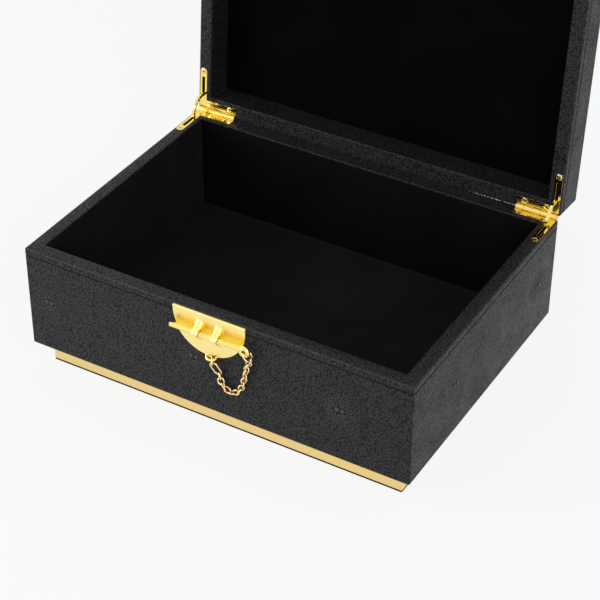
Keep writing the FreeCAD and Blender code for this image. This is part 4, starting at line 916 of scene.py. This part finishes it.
def crossScrew():
    head, shank, dome, steps = (screw[size] for size in ("head", "shank", "dome", "sides"))
    profile = [(0, dome)]
    profile += [(head * share, dome * (1 - share ** 2)) for share in screw["domeShares"]]
    profile += [(shank, shank - head), (shank, -screw["length"]), (0, -screw["length"])]
    turns = [2 * math.pi * step / steps for step in range(steps)]
    loops = [[(radius * math.cos(turn), radius * math.sin(turn), height) for turn in turns]
             for radius, height in profile]
    piece = fromBmesh("crossScrew", loft(loops, closed=False), screwGilt)
    long, wide, deep = screw["slotLength"] / 2, screw["slotWidth"] / 2, screw["slotDepth"]
    carve(piece, [boxMesh((-long, -wide, dome - deep), (long, wide, 2 * dome)),
                  boxMesh((-wide, -long, dome - deep), (wide, long, 2 * dome))])
    smoothShading(piece.data)
    return piece


def screwTree(pattern):
    # A screw at each point of the guide, each turned a little further than the last.
    tree, sizes, given, out = startTree("screwSet", screw, "twist")
    order = addNode(tree, "GeometryNodeInputIndex")
    angle = addNode(tree, "ShaderNodeMath", {0: order, 1: given["Twist"]}, operation="MULTIPLY")
    turn = addNode(tree, "ShaderNodeCombineXYZ", {"Z": angle})
    source = addNode(tree, "GeometryNodeObjectInfo", {"Object": pattern}).outputs["Geometry"]
    placed = addNode(tree, "GeometryNodeInstanceOnPoints", {
        "Points": given["Geometry"], "Instance": source, "Rotation": turn})
    finishTree(tree, out, placed, screwGilt, smooth=False)
    return tree, sizes


screwPattern = crossScrew()
screwPlaces = [(side * x * mm, y * mm, box["rim"]) for side in (-1, 1) for x, y in screw["places"]]
for name, body in (("baseScrews", "base"), ("lidScrews", "lid")):
    screws = runTree(name, *screwTree(screwPattern), guideLine(screwPlaces, closed=False),
                     screwGilt)
    if body == "lid":
        toLid(screws)
    smoothShading(screws.data)
    settle(screws, body, "screw_brass", body + "_hinge_screws")
patternMesh = screwPattern.data
bpy.data.objects.remove(screwPattern)
bpy.data.meshes.remove(patternMesh)
print("plinth band and screws made")


# Clasp plate: the frame's plate recast with a long hollow behind the bolt and drawn-out claws

plate = {"grain": 0.22 * mm, "softness": 0.5, "smoothing": 3, "polishing": 12,
         "back": -109 * mm, "front": -110.8 * mm, "faceMargin": 0.2 * mm, "backMargin": 0.1 * mm,
         "boltHeight": 84.4 * mm, "claw": 7.35 * mm,
         "channelRadius": 10 * mm, "channelDepth": 0.9 * mm,
         "hollowDepth": 0.95 * mm, "hollowTop": 95.5 * mm, "hollowFoot": 85 * mm,
         "frontFade": 1.5 * mm,
         "taperTop": 86.8 * mm, "taperFoot": 81.0 * mm, "taperEnd": 76 * mm, "taperLeft": 0.15,
         "taperShift": 1.0 * mm, "beakFront": -118.0 * mm,
         "humpSteps": 12, "humpPower": 2.4, "humpSunk": 0.6 * mm}
# Height, shift to the right, reach and half width, in mm, of a claw above the bolt and of its
# beak below.
clawRise = [(94.5, 0.6, 0.0, 1.2), (92.8, 0.5, 0.5, 2.0), (91.2, 0.4, 1.4, 2.8),
            (89.8, 0.2, 2.7, 3.4), (88.6, 0.1, 3.9, 3.8), (87.6, 0.0, 4.9, 4.0),
            (86.7, 0.0, 5.6, 4.0)]
clawBeak = [(82.3, 0.8, 5.6, 1.5), (81.2, 1.0, 4.7, 1.3), (80.0, 1.2, 3.6, 1.0),
            (78.8, 1.4, 2.5, 0.8), (77.6, 1.5, 1.4, 0.6), (76.8, 1.6, 0.5, 0.4)]


def taperClaws(shape):
    # Below the bolt each claw narrows to a point, leans to the right and draws back to the plate.
    for vertex in shape.verts:
        x, y, z = vertex.co
        if (y < plate["front"] - plate["faceMargin"]
                and plate["taperEnd"] < z < plate["taperTop"]):
            lost = 1 - smoothStep(z, plate["taperFoot"], plate["taperTop"])
            claw = math.copysign(plate["claw"], x)
            x = (claw + (x - claw) * (1 - (1 - plate["taperLeft"]) * lost)
                 + plate["taperShift"] * lost)
            if z < plate["boltHeight"]:
                y = max(y, plate["beakFront"] + plate["boltHeight"] - z)
            vertex.co = (x, y, z)


def clawHump(shape, claw, sections):
    # A closed hump that stands on the plate, given by its level sections from top to bottom.
    steps, sunk = plate["humpSteps"], plate["front"] + plate["humpSunk"]
    loops = []
    for height, shift, reach, half in sections:
        loop = []
        for step in range(steps + 1):
            share = 2 * step / steps - 1
            rise = reach * mm * (1 - abs(share) ** plate["humpPower"])
            loop.append((claw + (shift + share * half) * mm, plate["front"] - rise, height * mm))
        loop += [(claw + (shift + half) * mm, sunk, height * mm),
                 (claw + (shift - half) * mm, sunk, height * mm)]
        loops.append(loop)
    loft(loops, False, shape)


def deepenHollow(mesh):
    # The channel behind the bolt runs out into a long hollow up the plate; what stands further
    # out than the face keeps its place.
    radius, face, back = plate["channelRadius"], plate["front"], plate["back"]
    for vertex in mesh.vertices:
        x, y, z = vertex.co
        rise = z - plate["boltHeight"]
        if rise > 0 and y < back - plate["backMargin"]:
            arc = math.sqrt(max(0.0, radius ** 2 - rise ** 2))
            old = max(0.0, plate["channelDepth"] - radius + arc)
            fade = 1 - smoothStep(z, plate["hollowFoot"], plate["hollowTop"])
            new = max(old, plate["hollowDepth"] * fade)
            surface = face + old
            if y > surface:
                share = (back - y) / (back - surface)
            else:
                share = 1 - smoothStep(surface - y, 0, plate["frontFade"])
            vertex.co = (x, y + (new - old) * share, z)


def soften(piece, rounds):
    modifier = piece.modifiers.new("soften", "SMOOTH")
    modifier.factor, modifier.iterations = plate["softness"], rounds
    applyModifiers(piece)


def claspPlate():
    shape = bmesh.new()
    shape.from_mesh(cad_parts["base_clasp_plate"].data)
    bmesh.ops.remove_doubles(shape, verts=shape.verts, dist=hair)
    taperClaws(shape)
    for side in (-1, 1):
        for sections in (clawRise, clawBeak):
            clawHump(shape, side * plate["claw"], sections)
    piece = fromBmesh("claspPlate", shape, plateGilt)
    recast = piece.modifiers.new("recast", "REMESH")
    recast.mode, recast.voxel_size = "VOXEL", plate["grain"]
    soften(piece, plate["smoothing"])
    deepenHollow(piece.data)
    soften(piece, plate["polishing"])
    smoothShading(piece.data, sharpDegrees=60)
    return piece


settle(claspPlate(), "base", "clasp_brass", "base_clasp_plate")
print("clasp plate made")


# Chain: round-wire links along a slack line between the long ring and the bolt's jump ring

chain = {"links": 16, "length": 6.1 * mm, "width": 4.9 * mm, "wire": 1.1 * mm,
         "lean": math.radians(40), "twist": math.radians(11), "linkSteps": 24, "wireSteps": 10,
         "routeSteps": 24}
# The slack line's points, in mm.
chainRoute = [(7.52, -110.9, 53.85), (8.56, -111.5, 50.7), (9.85, -111.8, 48.26),
              (11.86, -111.9, 45.47), (14.44, -111.9, 43.6), (17.51, -111.9, 42.78),
              (20.69, -111.9, 43.85), (23.57, -111.9, 46.55), (25.55, -111.9, 50.14),
              (26.84, -111.9, 53.7), (28.24, -111.9, 59.87), (29.61, -112.1, 66.01),
              (31.39, -112.9, 71.52), (34.96, -114.7, 78.64)]


def chainLink(tree, given):
    # One oval of round wire.
    ring = addNode(tree, "GeometryNodeCurvePrimitiveCircle", {
        "Resolution": chain["linkSteps"], "Radius": 0.5})
    spans = [addNode(tree, "ShaderNodeMath", {0: given[side], 1: given["Wire"]},
                     operation="SUBTRACT") for side in ("Length", "Width")]
    size = addNode(tree, "ShaderNodeCombineXYZ", {"X": spans[0], "Y": spans[1], "Z": 1.0})
    oval = addNode(tree, "GeometryNodeTransform", {"Geometry": ring, "Scale": size})
    thick = addNode(tree, "ShaderNodeMath", {0: given["Wire"], 1: 0.5}, operation="MULTIPLY")
    wire = addNode(tree, "GeometryNodeCurvePrimitiveCircle", {
        "Resolution": chain["wireSteps"], "Radius": thick})
    return addNode(tree, "GeometryNodeCurveToMesh", {"Curve": oval, "Profile Curve": wire})


def chainTree():
    tree, sizes, given, out = startTree("linkChain", chain, "links", "length", "width", "wire",
                                        "lean", "twist")
    line = addNode(tree, "GeometryNodeMeshToCurve", {"Mesh": given["Geometry"]})
    smooth = addNode(tree, "GeometryNodeCurveSplineType", {"Curve": line},
                     spline_type="CATMULL_ROM")
    fine = addNode(tree, "GeometryNodeSetSplineResolution", {
        "Geometry": smooth, "Resolution": chain["routeSteps"]})
    # Link middles lie half a pitch in from the ends: twice as many marks, every second one kept.
    twice = addNode(tree, "ShaderNodeMath", {0: given["Links"], 1: 2.0, 2: 1.0},
                    operation="MULTIPLY_ADD")
    marks = addNode(tree, "GeometryNodeResampleCurve", {"Curve": fine, "Count": twice},
                    mode="COUNT")
    order = addNode(tree, "GeometryNodeInputIndex")
    odd = addNode(tree, "ShaderNodeMath", {0: order, 1: 2.0}, operation="FLOORED_MODULO")
    along = addNode(tree, "GeometryNodeInputTangent")
    lengthwise = addNode(tree, "FunctionNodeAlignRotationToVector", {"Vector": along}, axis="X")
    outward = addNode(tree, "FunctionNodeAlignRotationToVector", {
        "Rotation": lengthwise, "Vector": (0, -1, 0)}, axis="Z", pivot_axis="X")
    # Each link is a quarter turn from the last, and the whole chain twists a little. The mark
    # numbers run 1, 3, 5, so a link's own number is half of that.
    number = addNode(tree, "ShaderNodeMath", {0: order, 1: 0.5}, operation="MULTIPLY")
    whole = addNode(tree, "ShaderNodeMath", {0: number}, operation="FLOOR")
    step = addNode(tree, "ShaderNodeMath", {0: given["Twist"], 1: math.pi / 2}, operation="ADD")
    spin = addNode(tree, "ShaderNodeMath", {0: whole, 1: step, 2: given["Lean"]},
                   operation="MULTIPLY_ADD")
    flip = addNode(tree, "ShaderNodeCombineXYZ", {"X": spin})
    turned = addNode(tree, "FunctionNodeRotateRotation", {
        "Rotation": outward, "Rotate By": flip}, rotation_space="LOCAL")
    links = addNode(tree, "GeometryNodeInstanceOnPoints", {
        "Points": marks, "Selection": odd, "Instance": chainLink(tree, given),
        "Rotation": turned})
    finishTree(tree, out, links, chainGilt)
    return tree, sizes


routeInMetres = [tuple(value * mm for value in point) for point in chainRoute]
links = runTree("chainLinks", *chainTree(), guideLine(routeInMetres, closed=False), chainGilt)
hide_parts("clasp_chain")
# The pull is spread along the chain, rising a little to the right, so that no link stretches much.
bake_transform(links)
print("chain made")


# The rigid metal, boards and felt keep the frame's own shapes

finishes = {"lid_clasp_plate": claspGilt, "clasp_bolt": claspGilt,
            "bolt_jump_ring": chainGilt, "chain_anchor_rings": chainGilt}
for part in ("base_hinge_leaf", "lid_hinge_leaf", "hinge_stay", "hinge_pin"):
    finishes.update({part + "_left": hingeGilt, part + "_right": hingeGilt})
for part in ("plinth", "base_clasp", "lid_clasp"):
    finishes[part + "_screws"] = screwGilt
for name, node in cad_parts.items():
    if not node.material_slots:
        node.data.materials.append(None)
    for slot in node.material_slots:
        slot.material = finishes.get(name, fibreboard)
print("frame parts finished")


# Studio: pale floor, soft light, white behind everything

studio = {"floorTint": "#F4F4F4", "floorGlow": 0.85, "floorHalf": 6.0, "floorDrop": 0.05 * mm,
          "worldLight": 0.45, "worldSeen": 0.95, "target": (0, 0, 0.08)}
# Name, place and width in metres, and watts of each square lamp.
lamps = (("keyLamp", (1.3, -0.9, 0.8), 0.9, 8), ("fillLamp", (-1.4, -1.0, 0.6), 1.0, 15),
         ("topLamp", (0.1, 0.3, 1.8), 1.2, 2))


def seenByEye(tree):
    # 1 for what the camera sees straight, in a mirror or through glass, and 0 for soft light.
    rays = addNode(tree, "ShaderNodeLightPath").outputs
    clear = addNode(tree, "ShaderNodeMath", {0: rays["Is Camera Ray"],
                                             1: rays["Is Transmission Ray"]}, operation="MAXIMUM")
    return addNode(tree, "ShaderNodeMath", {0: clear, 1: rays["Is Glossy Ray"]},
                   operation="MAXIMUM")


def makeStage():
    # Matt white paper: it glows where it is seen, and what is left of it shows the shadow.
    material, tree, shader = startMaterial("paleFloor", studio["floorTint"],
                                           {"Roughness": 0.9})[:3]
    glow = addNode(tree, "ShaderNodeEmission", {"Color": (1, 1, 1, 1), "Strength": 1.0})
    share = addNode(tree, "ShaderNodeMath", {0: seenByEye(tree), 1: studio["floorGlow"]},
                    operation="MULTIPLY")
    mixed = addNode(tree, "ShaderNodeMixShader", {"Fac": share, 1: shader, 2: glow})
    plug(tree.nodes["Material Output"], {"Surface": mixed})
    shape = bmesh.new()
    bmesh.ops.create_grid(shape, x_segments=2, y_segments=2, size=studio["floorHalf"],
                          matrix=Matrix.Translation((0, 0, -studio["floorDrop"])))
    fromBmesh("floor", shape, material)


def makeWorld():
    world = bpy.data.worlds.new("studioWorld")
    world.use_nodes = True
    tree = world.node_tree
    strength = addNode(tree, "ShaderNodeMapRange", {
        "Value": seenByEye(tree), "To Min": studio["worldLight"], "To Max": studio["worldSeen"]})
    plug(tree.nodes["Background"], {"Color": (1, 1, 1, 1), "Strength": strength})
    bpy.context.scene.world = world


def softLamp(name, place, width, watts):
    light = bpy.data.lights.new(name, "AREA")
    light.shape = "RECTANGLE"
    light.size = light.size_y = width
    light.energy = watts
    lamp = addObject(name, light)
    lamp.location = place
    towards = Vector(studio["target"]) - Vector(place)
    lamp.rotation_euler = towards.to_track_quat("-Z", "Y").to_euler()


makeStage()
makeWorld()
for lamp in lamps:
    softLamp(*lamp)


# Camera, fitted to the photograph's edges for a square frame of 600 pixels

view = {"turn": 30.18, "down": 36.11, "roll": 0.29, "focalPixels": 1873.0, "frame": 600,
        "place": (0.5425, -0.9248, 0.8239), "sensor": 36, "near": 0.05, "far": 50}


def makeCamera():
    turn, down, roll = (math.radians(view[name]) for name in ("turn", "down", "roll"))
    lens = bpy.data.cameras.new("photoCamera")
    lens.sensor_width = view["sensor"]
    lens.lens = view["focalPixels"] / view["frame"] * view["sensor"]
    lens.clip_start, lens.clip_end = view["near"], view["far"]
    camera = addObject("photoCamera", lens)
    camera.matrix_world = (Matrix.Translation(view["place"]) @ Matrix.Rotation(turn, 4, "Z")
                           @ Matrix.Rotation(math.pi / 2 - down, 4, "X")
                           @ Matrix.Rotation(roll, 4, "Z"))
    bpy.context.scene.camera = camera


makeCamera()
bpy.context.scene.view_settings.view_transform = "Standard"
print("studio ready")

bpy.context.view_layer.update()
